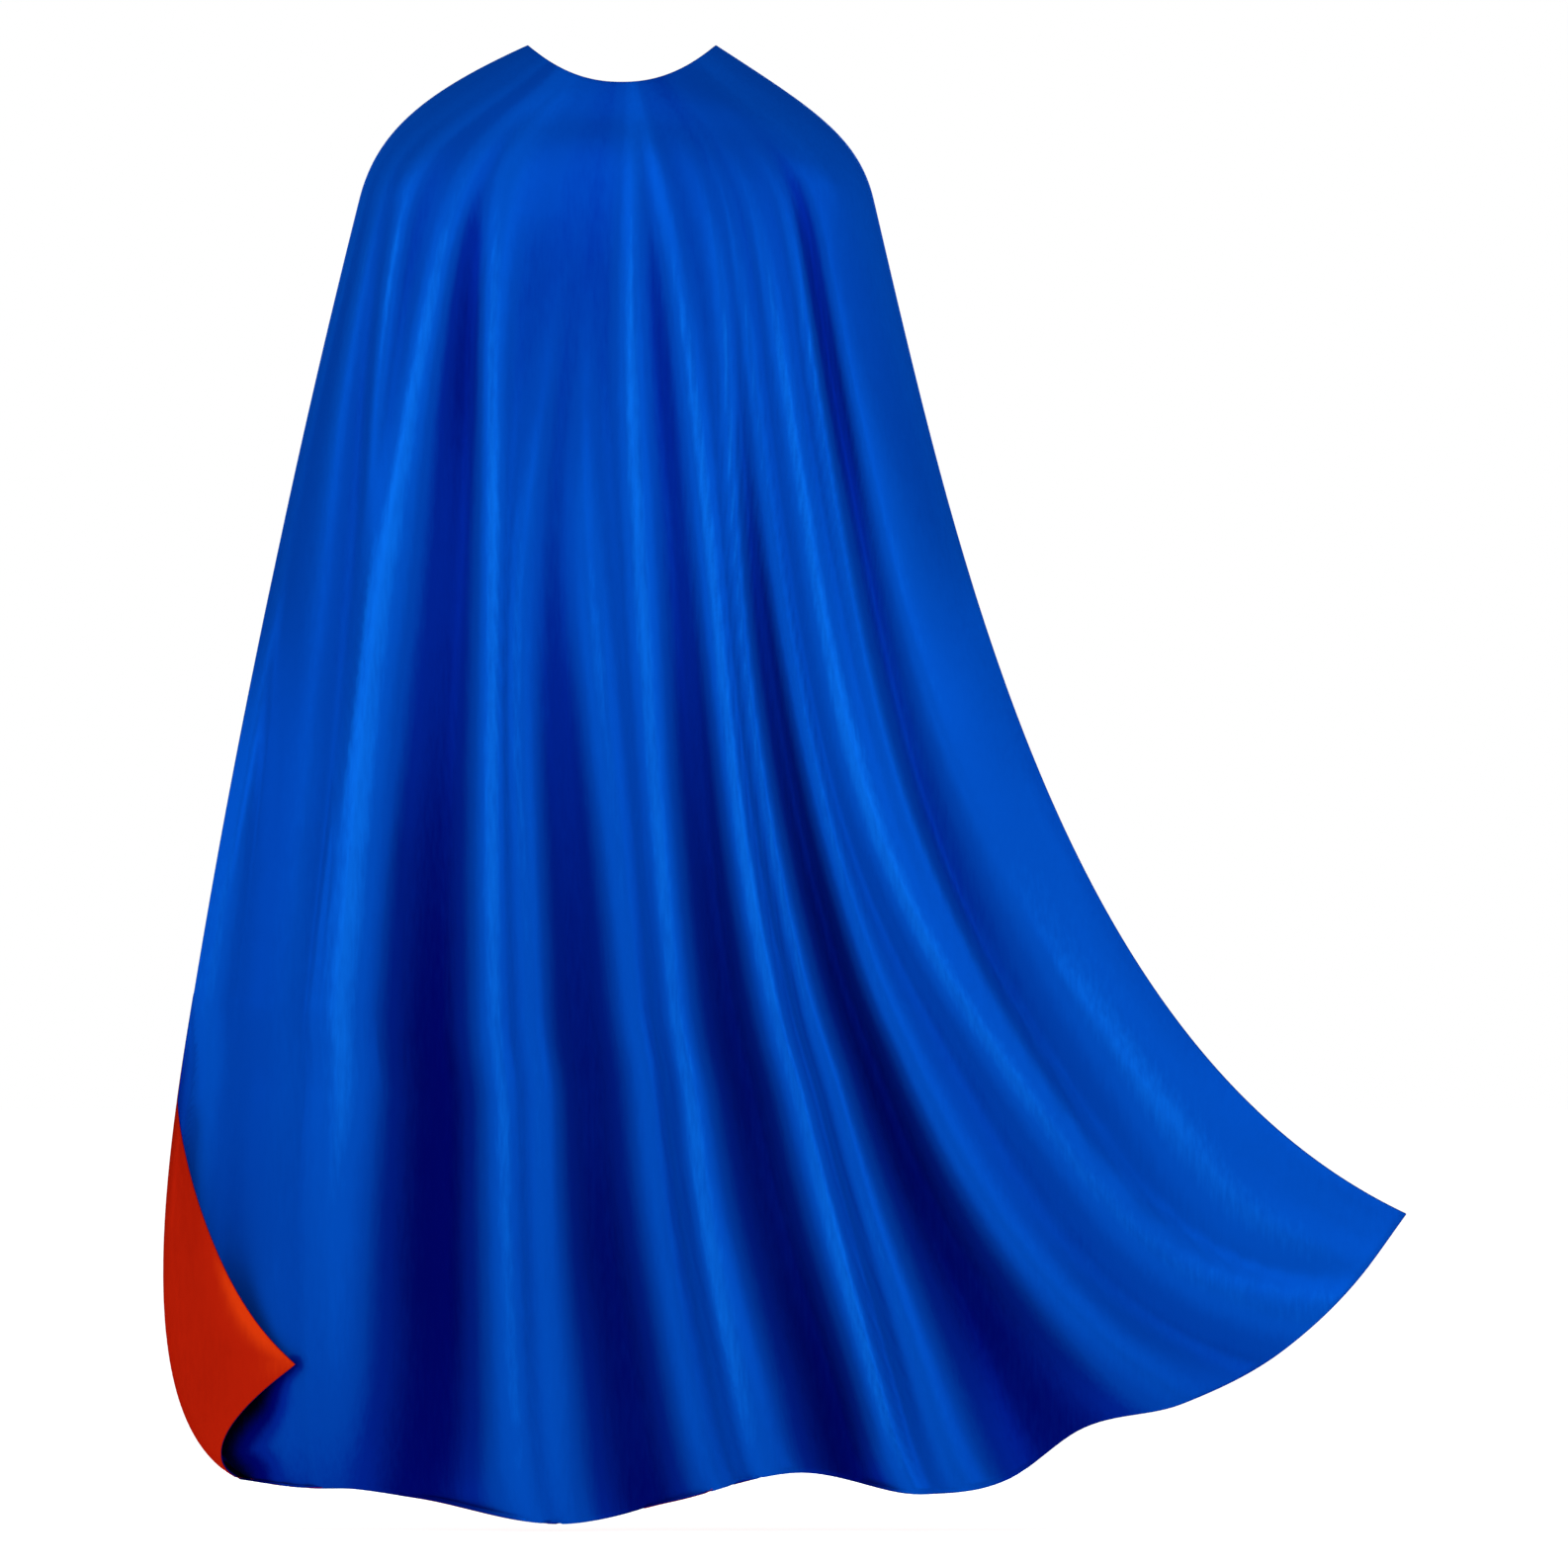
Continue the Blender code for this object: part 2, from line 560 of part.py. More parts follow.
def build_closure():
    """The tab with its hook pad on the left strap's end, and the loop pad on the right strap."""
    left, right = hinge_point(-STRAP_ROOT), hinge_point(STRAP_ROOT)
    tab = hinge_point(TAB_ROOT, PANEL_OUTSIDE + 2 * (CLEARANCE + SATIN))
    loop_at = PANEL_OUTSIDE + CLEARANCE + LOOP_PAD / 2
    hook_at = loop_at + LOOP_PAD / 2 + CLEARANCE + HOOK_PAD / 2
    lining_at = hook_at + HOOK_PAD / 2 + CLEARANCE + SATIN / 2
    outer_at = lining_at + SATIN + CLEARANCE
    on_strap = PANEL_OUTSIDE + CLEARANCE + SATIN / 2
    layers = (
        ("closure_tab_lining", "red_satin", on_strap, lining_at),
        ("closure_tab_outer", "blue_satin", on_strap + SATIN + CLEARANCE, outer_at),
    )
    for name, material, low, high in layers:
        grid = band_grid(TAB_ROOT, TAB_TIP, lambda a: tab_offset(a, low, high), TAB_STEPS, TAB_MARGIN)
        sheet_from_grid(name, grid, material, SATIN, tab)
    loop = band_grid(PAD_NEAR, PAD_FAR, loop_at, PAD_STEPS, PAD_MARGIN)
    sheet_from_grid("loop_pad", loop, "hook_and_loop", LOOP_PAD, right)
    hook = band_grid(PAD_NEAR, PAD_FAR, hook_at, PAD_STEPS, PAD_MARGIN)
    sheet_from_grid("hook_pad", hook, "hook_and_loop", HOOK_PAD, tab)
    raised = SATIN / 2 + CLEARANCE + THREAD / 2
    across = PAD_NEAR - PAD_STITCH_INSET, PAD_FAR + PAD_STITCH_INSET
    path, normals = band_ring(*across, outer_at + raised, PAD_STITCH_MARGIN, PAD_STEPS)
    thread_along("hook_pad_stitch", path, normals, THREAD, "blue_thread", True, tab)
    inside = -(PANEL_OUTSIDE + CLEARANCE + THREAD / 2)
    path, normals = band_ring(*across, inside, PAD_STITCH_MARGIN, PAD_STEPS)
    thread_along("loop_pad_stitch", path, normals, THREAD, "blue_thread", True, right)
    path, normals = band_ring(*TAB_STITCH, inside, TAB_STITCH_MARGIN, 1)
    thread_along("closure_tab_stitch", path, normals, THREAD, "blue_thread", True, left)


def clear_scene():
    for obj in list(bpy.data.objects):
        bpy.data.objects.remove(obj)


clear_scene()
MATERIALS = {name: make_material(name) for name in COLOURS}
BODY, FLAP = panel_grid()
build_cape(BODY, FLAP)
build_strap(BODY, "left", -1)
build_strap(BODY, "right", 1)
build_closure()
bpy.context.view_layer.update()
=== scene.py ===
"""The looks of a child's reversible satin cape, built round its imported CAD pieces.

Lengths are millimetres in the design's own frame, as in the CAD source, and place() turns them into the frame's
metres. +Z is up, the wearer faces +Y, and the blue outer side faces -Y.
"""

import math

import bpy
import numpy as np
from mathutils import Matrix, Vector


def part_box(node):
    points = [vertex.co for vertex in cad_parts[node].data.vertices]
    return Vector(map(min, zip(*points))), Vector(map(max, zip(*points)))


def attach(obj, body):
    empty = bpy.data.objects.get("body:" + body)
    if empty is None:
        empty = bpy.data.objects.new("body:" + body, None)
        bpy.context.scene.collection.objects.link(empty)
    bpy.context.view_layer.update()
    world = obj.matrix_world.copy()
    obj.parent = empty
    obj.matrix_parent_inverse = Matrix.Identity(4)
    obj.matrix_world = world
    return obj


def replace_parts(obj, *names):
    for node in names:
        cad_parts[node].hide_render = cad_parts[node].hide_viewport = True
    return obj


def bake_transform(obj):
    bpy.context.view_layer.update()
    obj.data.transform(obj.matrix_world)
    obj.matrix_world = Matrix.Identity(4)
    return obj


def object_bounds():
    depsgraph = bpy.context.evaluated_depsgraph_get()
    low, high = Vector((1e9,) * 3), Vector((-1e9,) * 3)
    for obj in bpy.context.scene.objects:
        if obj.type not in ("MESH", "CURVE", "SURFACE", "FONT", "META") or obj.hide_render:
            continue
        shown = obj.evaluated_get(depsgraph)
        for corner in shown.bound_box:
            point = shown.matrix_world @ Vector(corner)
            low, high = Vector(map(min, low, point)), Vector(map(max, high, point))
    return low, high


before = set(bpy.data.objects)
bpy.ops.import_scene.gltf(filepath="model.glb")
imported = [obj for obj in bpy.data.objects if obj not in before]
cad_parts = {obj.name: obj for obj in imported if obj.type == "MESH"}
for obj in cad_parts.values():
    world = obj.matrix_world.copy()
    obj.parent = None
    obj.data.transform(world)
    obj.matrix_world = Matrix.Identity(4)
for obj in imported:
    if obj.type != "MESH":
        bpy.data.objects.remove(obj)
CAD_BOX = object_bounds()

METRES = 0.001
LABEL_FACE = np.array((0.0, 2.5, -25.0))  # the frame's origin, in the design's frame

# Neckline and shoulder ring, as in the CAD.
NECK_HALF_WIDTH = 44.7
NECK_HALF_DEPTH = 46.0
NECK_POINT_RISE = 17.8
NECK_POINT_POWER = 2.2
NECK_FRONT_DROP = 28.0
PANEL_NECK_ANGLE = math.radians(118)
SHOULDER_Z = -55.0
SHOULDER_LEFT_X = -124.0
SHOULDER_RIGHT_X = 119.0
SHOULDER_BACK_Y = -24.0
SHOULDER_DEPTH = 62.0
SHOULDER_WRAP = math.radians(125)

# How steeply a yoke line leaves the neckline, and the reach of its curve's two ends, in shares of its span.
FALL_AT_SIDES = 0.65
FALL_MORE_AT_LEFT = -0.2
FALL_MORE_AT_BACK = 0.55
FALL_MORE_AT_FRONT = 0.5
YOKE_LEAVE = 0.52
YOKE_LEAVE_MORE_AT_BACK = -0.14
YOKE_ARRIVE = 0.3
SKIRT_START = 0.01

# Outline of the skirt, as in the CAD, with a finer hem beside the turned corner.
LEFT_FLARE = 152.0
LEFT_BOW = 42.0
LEFT_HEM_Z = -661.5
RIGHT_HEM_Z = -536.0
RIGHT_EDGE = ((SHOULDER_RIGHT_X, SHOULDER_Z), (158, -221), (208, -459), (371, RIGHT_HEM_Z))
HEM_BACK_Y = -34.0
HEM_DEPTH = 34.0
CORNER_BILLOW = 26.0
WRAP_SETTLES_AT = 0.55
WIDTH_SETTLES_AT = 0.65
BACK_SETTLES_AT = 0.5
DEPTH_SETTLES_AT = 0.8
SAG_POWER = 1.5
WIDTH_SAMPLES = 181
HEM_AT = (0.0, 0.05, 0.09, 0.15, 0.285, 0.37, 0.477, 0.59, 0.66, 0.72, 0.81, 0.9, 0.96, 1.0)
HEM_Z = (LEFT_HEM_Z, -665.2, -665.6, -670.2, -682, -672, -658, -668, -661, -638, -625, -598, -566, RIGHT_HEM_Z)

# Turned corner: the CAD's, but its roll goes on further towards the hem. What shows of it grows down to its tip and
# falls off below.
TURN_START = 0.62
TURN_LINE = ((-202, -429.5), (-215, -508), (-235, -635), (-181, LEFT_HEM_Z))
TURN_DIRECTION = (0.975, -0.222)
QUARTER_AT = 0.2
QUARTER_UNTIL = 0.985
TURN_TIP_AT = 0.61
TURN_REACH = 62.0
REACH_POWER = 1.4
TIP_SHARE = 0.15
TIP_POWER = 8
FALLING_POWER = 1.8
ROLL_TOP_RADIUS = 5.5
ROLL_HEM_RADIUS = 7.5
FLAP_LIFT = 7.0

# Fold lines from left to right. Each gives its place across the skirt (0 to 1) and its level (0 is the floor of the
# deepest valley, 1 the highest crest) at the heights of FOLD_ROWS: 0 is the shoulder ring, 1 the hem. The level
# shapes the relief and also paints the satin's colour: painted shade towards 0, painted highlight towards 1.
FOLD_ROWS = (-0.07, 0.05, 0.25, 0.5, 0.75, 0.9, 1.0)
FOLD_LINES = (
    ((0.0,) * 7, (0.80, 0.84, 0.72, 0.82, 0.72, 0.48, 0.30)),
    ((0.008, 0.008, 0.010, 0.015, 0.015, 0.015, 0.010), (0.80, 0.84, 0.74, 0.84, 0.76, 0.52, 0.34)),
    ((0.018, 0.018, 0.024, 0.045, 0.052, 0.045, 0.030), (0.78, 0.66, 0.64, 0.58, 0.58, 0.50, 0.38)),
    ((0.038, 0.038, 0.064, 0.100, 0.096, 0.080, 0.045), (0.78, 0.86, 0.76, 0.71, 0.68, 0.61, 0.42)),
    ((0.055, 0.064, 0.106, 0.122, 0.115, 0.095, 0.052), (0.76, 0.60, 0.56, 0.64, 0.68, 0.60, 0.44)),
    ((0.085, 0.090, 0.128, 0.134, 0.126, 0.104, 0.057), (0.80, 0.92, 0.76, 0.76, 0.75, 0.64, 0.46)),
    ((0.118, 0.122, 0.138, 0.144, 0.136, 0.112, 0.062), (0.64, 0.48, 0.86, 0.88, 0.80, 0.62, 0.47)),
    ((0.165, 0.170, 0.160, 0.160, 0.152, 0.125, 0.068), (0.82, 0.92, 0.98, 0.96, 0.87, 0.63, 0.46)),
    ((0.190, 0.228, 0.262, 0.265, 0.257, 0.215, 0.140), (0.82, 0.24, 0.24, 0.11, 0.02, 0.02, 0.06)),
    ((0.222, 0.268, 0.319, 0.333, 0.324, 0.292, 0.245), (0.78, 0.90, 0.96, 0.95, 0.93, 0.88, 0.78)),
    ((0.345, 0.345, 0.342, 0.350, 0.340, 0.307, 0.262), (0.68, 0.50, 0.66, 0.70, 0.70, 0.70, 0.68)),
    ((0.400, 0.405, 0.364, 0.366, 0.357, 0.320, 0.272), (0.56, 0.50, 0.84, 0.86, 0.85, 0.82, 0.74)),
    ((0.430, 0.428, 0.409, 0.425, 0.414, 0.392, 0.345), (0.54, 0.50, 0.48, 0.24, 0.13, 0.09, 0.06)),
    ((0.455, 0.452, 0.461, 0.486, 0.475, 0.446, 0.405), (0.53, 0.48, 0.83, 0.87, 0.81, 0.77, 0.73)),
    ((0.485, 0.482, 0.499, 0.510, 0.493, 0.468, 0.424), (0.60, 0.50, 0.62, 0.64, 0.58, 0.58, 0.57)),
    ((0.538, 0.530, 0.535, 0.535, 0.516, 0.487, 0.442), (0.74, 0.92, 0.97, 0.96, 0.95, 0.92, 0.82)),
    ((0.558, 0.574, 0.596, 0.594, 0.588, 0.574, 0.525), (0.78, 0.44, 0.39, 0.21, 0.11, 0.08, 0.07)),
    ((0.578, 0.612, 0.643, 0.641, 0.641, 0.616, 0.575), (0.74, 0.91, 0.98, 0.97, 0.94, 0.94, 0.82)),
    ((0.620, 0.655, 0.666, 0.660, 0.661, 0.635, 0.595), (0.56, 0.54, 0.68, 0.64, 0.60, 0.60, 0.64)),
    ((0.690, 0.697, 0.681, 0.674, 0.676, 0.654, 0.615), (0.52, 0.86, 0.94, 0.92, 0.87, 0.85, 0.77)),
    ((0.712, 0.716, 0.707, 0.709, 0.724, 0.720, 0.700), (0.50, 0.62, 0.43, 0.20, 0.10, 0.08, 0.08)),
    ((0.732, 0.732, 0.737, 0.746, 0.774, 0.802, 0.815), (0.52, 0.84, 0.88, 0.89, 0.83, 0.79, 0.72)),
    ((0.755, 0.755, 0.756, 0.768, 0.826, 0.845, 0.875), (0.56, 0.54, 0.62, 0.62, 0.54, 0.55, 0.58)),
    ((0.778, 0.781, 0.790, 0.802, 0.868, 0.894, 0.925), (0.60, 0.86, 0.96, 0.96, 0.91, 0.87, 0.87)),
    ((0.815, 0.816, 0.821, 0.832, 0.885, 0.906, 0.940), (0.60, 0.56, 0.68, 0.80, 0.82, 0.86, 0.88)),
    ((0.840, 0.836, 0.835, 0.845, 0.891, 0.912, 0.948), (0.60, 0.86, 0.90, 0.80, 0.73, 0.83, 0.87)),
    ((0.866, 0.863, 0.866, 0.870, 0.899, 0.918, 0.955), (0.66, 0.22, 0.36, 0.44, 0.60, 0.76, 0.84)),
    ((0.895, 0.894, 0.904, 0.925, 0.956, 0.955, 0.970), (0.70, 0.70, 0.85, 0.83, 0.94, 0.90, 0.82)),
    ((0.925, 0.926, 0.968, 0.978, 0.980, 0.978, 0.985), (0.78, 0.66, 0.70, 0.80, 0.85, 0.82, 0.76)),
    ((1.0,) * 7, (0.78, 0.80, 0.82, 0.72, 0.76, 0.80, 0.70)),
)
NEUTRAL_LEVEL = 0.62
CREST_SHARPNESS = 1.3
FOLD_ONSET = 2.0
CREST_RISE = 9.0
VALLEY_DROP = 26.0
FOLD_SHARE_ROWS = (-0.07, 0.0, 0.2, 0.5, 0.8, 1.0)
FOLD_SHARE = (0.06, 0.16, 0.42, 0.8, 1.0, 1.0)
OUTWARD_BIAS = 5.0
LEAST_STEP = 1e-5

# The turned corner's shadow is painted on the cloth beside it and on its own underside near the hem (painted shade).
# A level turns over between the two sides of the cloth. The corner's lining is painted lighter further down, with a
# painted sheen wave (height, turn across and turn down) and painted highlights (height, then place and spread across
# and down).
FLAP_SHADE_REACH = 24.0
TIP_SHADE_REACH = 7.0
TIP_SHADE = 0.5
TIP_SHADE_LENGTH = 0.3
FLAP_SHADE = 1.9
UNDER_FLAP_FROM = 0.85
UNDER_FLAP_LENGTH = 0.08
LEVEL_TURNED_OVER = 1.1
LINING_LEVEL = 0.42
LINING_RISE = 0.16
LINING_RISE_UNTIL = 0.45
LINING_SHEEN_WAVE = (0.06, 2.5, 5.0)
LINING_HIGHLIGHTS = ((0.36, 0.98, 0.11, 0.52, 0.09), (0.22, 0.88, 0.2, 0.57, 0.09))

# Cloth layers: the two satin panels meet at their edges, where the blue one rolls over the seam.
OUTER_RADIUS = 0.6
INNER_RADIUS = 0.16
ROLLED_OVER = math.radians(118)
BETWEEN_EDGES = math.radians(8)
EDGE_RINGS = 4
# Painted shade: the level of the outermost edge rings falls to this share, a dark outline along every edge.
EDGE_SHADE = 0.1
SEAM_ALLOWANCE = 6.0

# Grid of the fine surface.
YOKE_STEPS = 34
SKIRT_STEPS = 196
LEFT_ZONE_SHARE = 0.15
LEFT_COLUMNS = 58
RIGHT_COLUMNS = 134
ZONE_SAMPLES = 120
FLAP_HEM_SAMPLES = 40
ROLL_DENSITY = 2.0
SHOULDER_SOFT_ROWS = 31
SHOULDER_SOFT_PASSES = 500
SOFT_DEPTH = 30.0

# Neck straps, closure tab and pads, as in the CAD. A strap's root is tucked under the cape's front corner.
STRAP_WIDTH = 24.0
STRAP_ROOT_LEAN = math.radians(45)
STRAP_FRONT_LEAN = math.radians(20)
STRAP_ROOT = math.radians(121)
STRAP_END = math.radians(178.6)
STRAP_TUCKED = math.radians(112)
TUCKED_UNTIL = math.radians(117)
TUCK_LENGTH = math.radians(6)
TUCK_SHARE_OF_YOKE = 0.6
TUCK_FROM_EDGE = 1.4
TUCK_DEPTH = 1.5
STRAP_BEND_END = math.radians(134)
STRAP_GRID = (15, 46)  # rows and columns, as in TAB_GRID and PAD_GRID
STRAP_RIPPLE = 0.35
STRAP_RIPPLES = 9
RIPPLE_GROWTH = 0.3
# The straps' level swings in a wave along them: painted shade and highlight.
STRAP_LEVEL = 0.66
STRAP_LEVEL_WAVE = 0.12
STRAP_STITCH_ROWS = slice(1, 11)
STRAP_STITCH_COLUMNS = {"left": 2, "right": -3}
TAB_SEWN = math.radians(193.5)
TAB_ROOT = math.radians(190)
TAB_BEND_END = math.radians(185)
TAB_TIP = math.radians(143.5)
TAB_STEP_FROM = math.radians(176)
TAB_STEP = math.radians(7)
TAB_GRID = (15, 48)
TAB_MARGIN = 0.05
TAB_CORNER = 9.0
TAB_LEVEL = 0.7
TAB_STITCH = (math.radians(193) - 2 * math.pi, math.radians(190.5) - 2 * math.pi)
TAB_STITCH_MARGIN = 0.12
PAD_NEAR = math.radians(176)
PAD_FAR = math.radians(147)
PAD_GRID = (16, 24)
PAD_MARGIN = 0.12
PAD_CORNER = 2.5
PAD_STITCH = (PAD_NEAR - math.radians(1.6), PAD_FAR + math.radians(1.6))
PAD_STITCH_MARGIN = 0.17

# Heights of the closure's layers over the straps' middle surface.
TAB_ON_STRAP = 1.5
TAB_OVER_PADS = 4.4
LOOP_BACKING = (0.65, 1.15)
LOOP_HEIGHT = 1.1
HOOK_BACKING = (3.2, 3.7)
HOOK_HEIGHT = 1.2

# Loops and hooks. Insets are angles from a pad's ends, margins are shares of the strap's width.
LOOP_COUNT = 850
LOOP_SEED = 7
LOOP_INSET = 0.02
LOOP_MARGIN = 0.16
LOOP_WIDTHS = (0.35, 0.6)
LOOP_RISES = (0.6, 1.0)
LOOP_OVERLAP = 0.2
LOOP_POINTS = 7
LOOP_RADIUS = 0.055
HOOK_ROWS = 12
HOOK_COLUMNS = 16
HOOK_INSET = 0.03
HOOK_MARGIN = 0.17
HOOK_LENGTH = 0.9
HOOK_PROFILE = ((0.0, -0.1), (0.0, 0.55), (0.1, 0.95), (0.32, 1.0), (0.45, 0.75))
HOOK_RADII = (0.14, 0.11, 0.09, 0.08, 0.05)

# Sewing, interfacing and label. A stitch's profile holds shares of its length, then its lift and thickness in radii.
THREAD_RADIUS = 0.22
HIDDEN_THREAD_RADIUS = 0.12
STITCH = 2.4
STITCH_GAP = 0.5
STITCH_PROFILE = ((0.0, 0.12, 0.5, 0.88, 1.0), (-1.2, 0.3, 0.7, 0.3, -1.2), (0.7, 0.95, 1.0, 0.95, 0.7))
INTERFACING_ROWS = slice(round(0.11 * YOKE_STEPS), round(0.31 * YOKE_STEPS) + 1)
INTERFACING_COLUMNS = slice(22, -18)
INTERFACING_HALF = 0.1
LABEL_THICKNESS = 0.42
LABEL_CORNER = 2.0
LABEL_FINE_PART = 3.0
LABEL_ROWS = (8, 24, 8)
LABEL_COLUMNS = 24
LABEL_TOP_RISE = 4.4
LABEL_TOP_LEAN = 1.6
LABEL_STITCH_DEPTH = 0.3

# Studio, in metres.
CENTRE = (0.077, -0.03, -0.3073)
FRAME_WIDTH = 0.7426
LENS = 1500.0
SENSOR_WIDTH = 36.0
FLOOR_GAP = 0.004
FLOOR_RADIUS = 40.0
WORLD_LIGHT = 0.22
LIGHTS = (  # name, place, size and power
    ("key", (-0.25, -2.7, 0.95), 1.3, 27),
    ("right_fill", (2.2, -1.5, 0.5), 1.4, 21),
    ("left_fill", (-2.3, -1.2, 0.4), 1.4, 18),
    ("top", (0.0, -0.9, 2.2), 1.4, 15),
    ("behind", (0.0, 2.8, -0.35), 1.6, 40),
)


def ease(x):
    """0 to 1 with flat ends."""
    x = np.clip(x, 0.0, 1.0)
    return x * x * (3 - 2 * x)


def mix(a, b, t):
    return a + (b - a) * t


def bezier(p0, p1, p2, p3, t):
    return (1 - t) ** 3 * p0 + 3 * t * (1 - t) ** 2 * p1 + 3 * t**2 * (1 - t) * p2 + t**3 * p3


def unit(vectors):
    return vectors / np.maximum(np.linalg.norm(vectors, axis=-1, keepdims=True), 1e-12)


def path_length(path):
    """The length of the path up to each of its points."""
    return np.concatenate(([0.0], np.cumsum(np.linalg.norm(np.diff(path, axis=0), axis=1))))


def spline_slopes(at, values):
    """Slopes of the natural cubic spline through the given points."""
    step = np.diff(at)
    pull = np.zeros((len(at), len(at)))
    pull[0, :2] = 2, 1
    pull[-1, -2:] = 1, 2
    for i in range(1, len(at) - 1):
        pull[i, i - 1 : i + 2] = step[i], 2 * (step[i - 1] + step[i]), step[i - 1]
    chord = (np.diff(values, axis=0).T / step).T
    inner = ((chord[:-1].T * step[1:] + chord[1:].T * step[:-1]) * 3).T
    return np.linalg.solve(pull, np.concatenate((3 * chord[:1], inner, 3 * chord[-1:])))


def smooth_through(x, at, values, slopes=None):
    """A smooth curve through the given points. Values may have a second axis."""
    at, values = np.array(at, float), np.array(values, float)
    slopes = np.gradient(values, at, axis=0) if slopes is None else slopes
    i = np.clip(np.searchsorted(at, x, side="right") - 1, 0, len(at) - 2)
    step = at[i + 1] - at[i]
    t = (x - at[i]) / step
    start, end = values[i], values[i + 1]
    return (
        (1 + 2 * t) * (1 - t) ** 2 * start
        + t * (1 - t) ** 2 * step * slopes[i]
        + t**2 * (3 - 2 * t) * end
        + t**2 * (t - 1) * step * slopes[i + 1]
    )


def place(points):
    """Design millimetres to the frame's metres."""
    return (np.asarray(points, float) - LABEL_FACE) * METRES


# -------- the cape's middle surface


def neckline(angle):
    """Points of the neckline. Angle 0 is the nape, 90 degrees the right neck point, 180 the front."""
    forward = np.minimum(np.cos(angle), 0)
    x = NECK_HALF_WIDTH * np.sin(angle)
    y = NECK_HALF_DEPTH * (1 - np.cos(angle))
    rise = NECK_POINT_RISE * np.abs(np.sin(angle)) ** NECK_POINT_POWER
    return np.stack((x, y, rise - NECK_FRONT_DROP * forward**2), axis=-1)


FOLD_PLACES, FOLD_LEVELS = np.array(FOLD_LINES).transpose(1, 2, 0)
FOLD_PLACE_SLOPES = spline_slopes(FOLD_ROWS, FOLD_PLACES)
FOLD_LEVEL_SLOPES = spline_slopes(FOLD_ROWS, FOLD_LEVELS)


def roll_radius(p):
    return mix(ROLL_TOP_RADIUS, ROLL_HEM_RADIUS, p)


def flap_reach(p):
    """How far the turned corner shows inside its silhouette, at p from the top of the turn to the hem."""
    rising = max(p - QUARTER_AT, 0) / (TURN_TIP_AT - QUARTER_AT)
    falling = (1 - p) / (1 - TURN_TIP_AT)
    upper = (1 - TIP_SHARE) * rising**REACH_POWER + TIP_SHARE * rising**TIP_POWER
    return TURN_REACH * (upper if p <= TURN_TIP_AT else falling**FALLING_POWER)


def flap_length(p):
    """Length of cloth past the start of the roll: up to a quarter turn, then what shows inside the silhouette."""
    reach, radius = flap_reach(p), roll_radius(p)
    share = ease(p / QUARTER_AT) * ease((1 - p) / (1 - QUARTER_UNTIL))
    second_quarter = math.acos(1 - min(reach / radius, 1))
    return radius * (share * math.pi / 2 + second_quarter) + max(reach - radius, 0)


def turn_line(p):
    """Where the roll starts on the body of the cape, as x and z."""
    silhouette = bezier(*np.array(TURN_LINE), p)
    radius = roll_radius(p)
    quarter = min(flap_length(p) / radius, math.pi / 2)
    return silhouette + radius * math.sin(quarter) * np.array(TURN_DIRECTION)


def left_edge(v):
    if v > TURN_START:
        return turn_line((v - TURN_START) / (1 - TURN_START))
    x = SHOULDER_LEFT_X - LEFT_FLARE * v + LEFT_BOW * v * v
    return np.array((x, mix(SHOULDER_Z, LEFT_HEM_Z, v)))


def right_edge(v):
    return bezier(*np.array(RIGHT_EDGE), v)


def fold_level(across, v):
    """Level of the folds (0 valley floor, 1 crest) at places across the skirt, at one height."""
    places = smooth_through(v, FOLD_ROWS, FOLD_PLACES, FOLD_PLACE_SLOPES)
    places = np.maximum.accumulate(places + LEAST_STEP * np.arange(len(places)))
    levels = smooth_through(v, FOLD_ROWS, FOLD_LEVELS, FOLD_LEVEL_SLOPES)
    i = np.clip(np.searchsorted(places, across, side="right") - 1, 0, len(places) - 2)
    t = (across - places[i]) / (places[i + 1] - places[i])
    low, high = np.minimum(levels[i], levels[i + 1]), np.maximum(levels[i], levels[i + 1])
    towards_crest = np.where(levels[i + 1] > levels[i], t, 1 - t)
    return mix(low, high, ease(towards_crest) ** CREST_SHARPNESS)


def fold_relief(across, v):
    """How far the folds stand out from the plain surface."""
    level = fold_level(across, v)
    over = np.maximum(level - NEUTRAL_LEVEL, 0) / (1 - NEUTRAL_LEVEL)
    under = np.maximum(NEUTRAL_LEVEL - level, 0) / NEUTRAL_LEVEL
    share = np.interp(v, FOLD_SHARE_ROWS, FOLD_SHARE)
    return share * (OUTWARD_BIAS + CREST_RISE * over - VALLEY_DROP * under)


def skirt_row(tau, v):
    """One row of the skirt and its fold levels. tau runs from -1 at the left edge to 1 at the right."""
    (left, left_z), (right, right_z) = left_edge(v), right_edge(v)
    wrap = mix(SHOULDER_WRAP, math.pi / 2, ease(v / WRAP_SETTLES_AT))
    flatness = ease(v / WIDTH_SETTLES_AT)
    every = np.linspace(-1, 1, WIDTH_SAMPLES)
    reach = np.max(mix(np.sin(every * wrap), every, flatness))
    share = (mix(np.sin(tau * wrap), tau, flatness) / reach + 1) / 2
    x, across = mix(left, right, share), np.clip(share, 0, 1)
    sag = smooth_through(across, HEM_AT, HEM_Z) - mix(LEFT_HEM_Z, RIGHT_HEM_Z, across)
    z = mix(left_z, right_z, across) + sag * v**SAG_POWER
    back = mix(SHOULDER_BACK_Y, HEM_BACK_Y, ease(v / BACK_SETTLES_AT))
    depth = mix(SHOULDER_DEPTH, HEM_DEPTH, ease(v / DEPTH_SETTLES_AT))
    y = back + depth * (1 - np.cos(tau * wrap))
    y = y - fold_relief(across, v) - CORNER_BILLOW * v**3 * across**3
    return np.stack((x, y, z), axis=-1), fold_level(across, v)


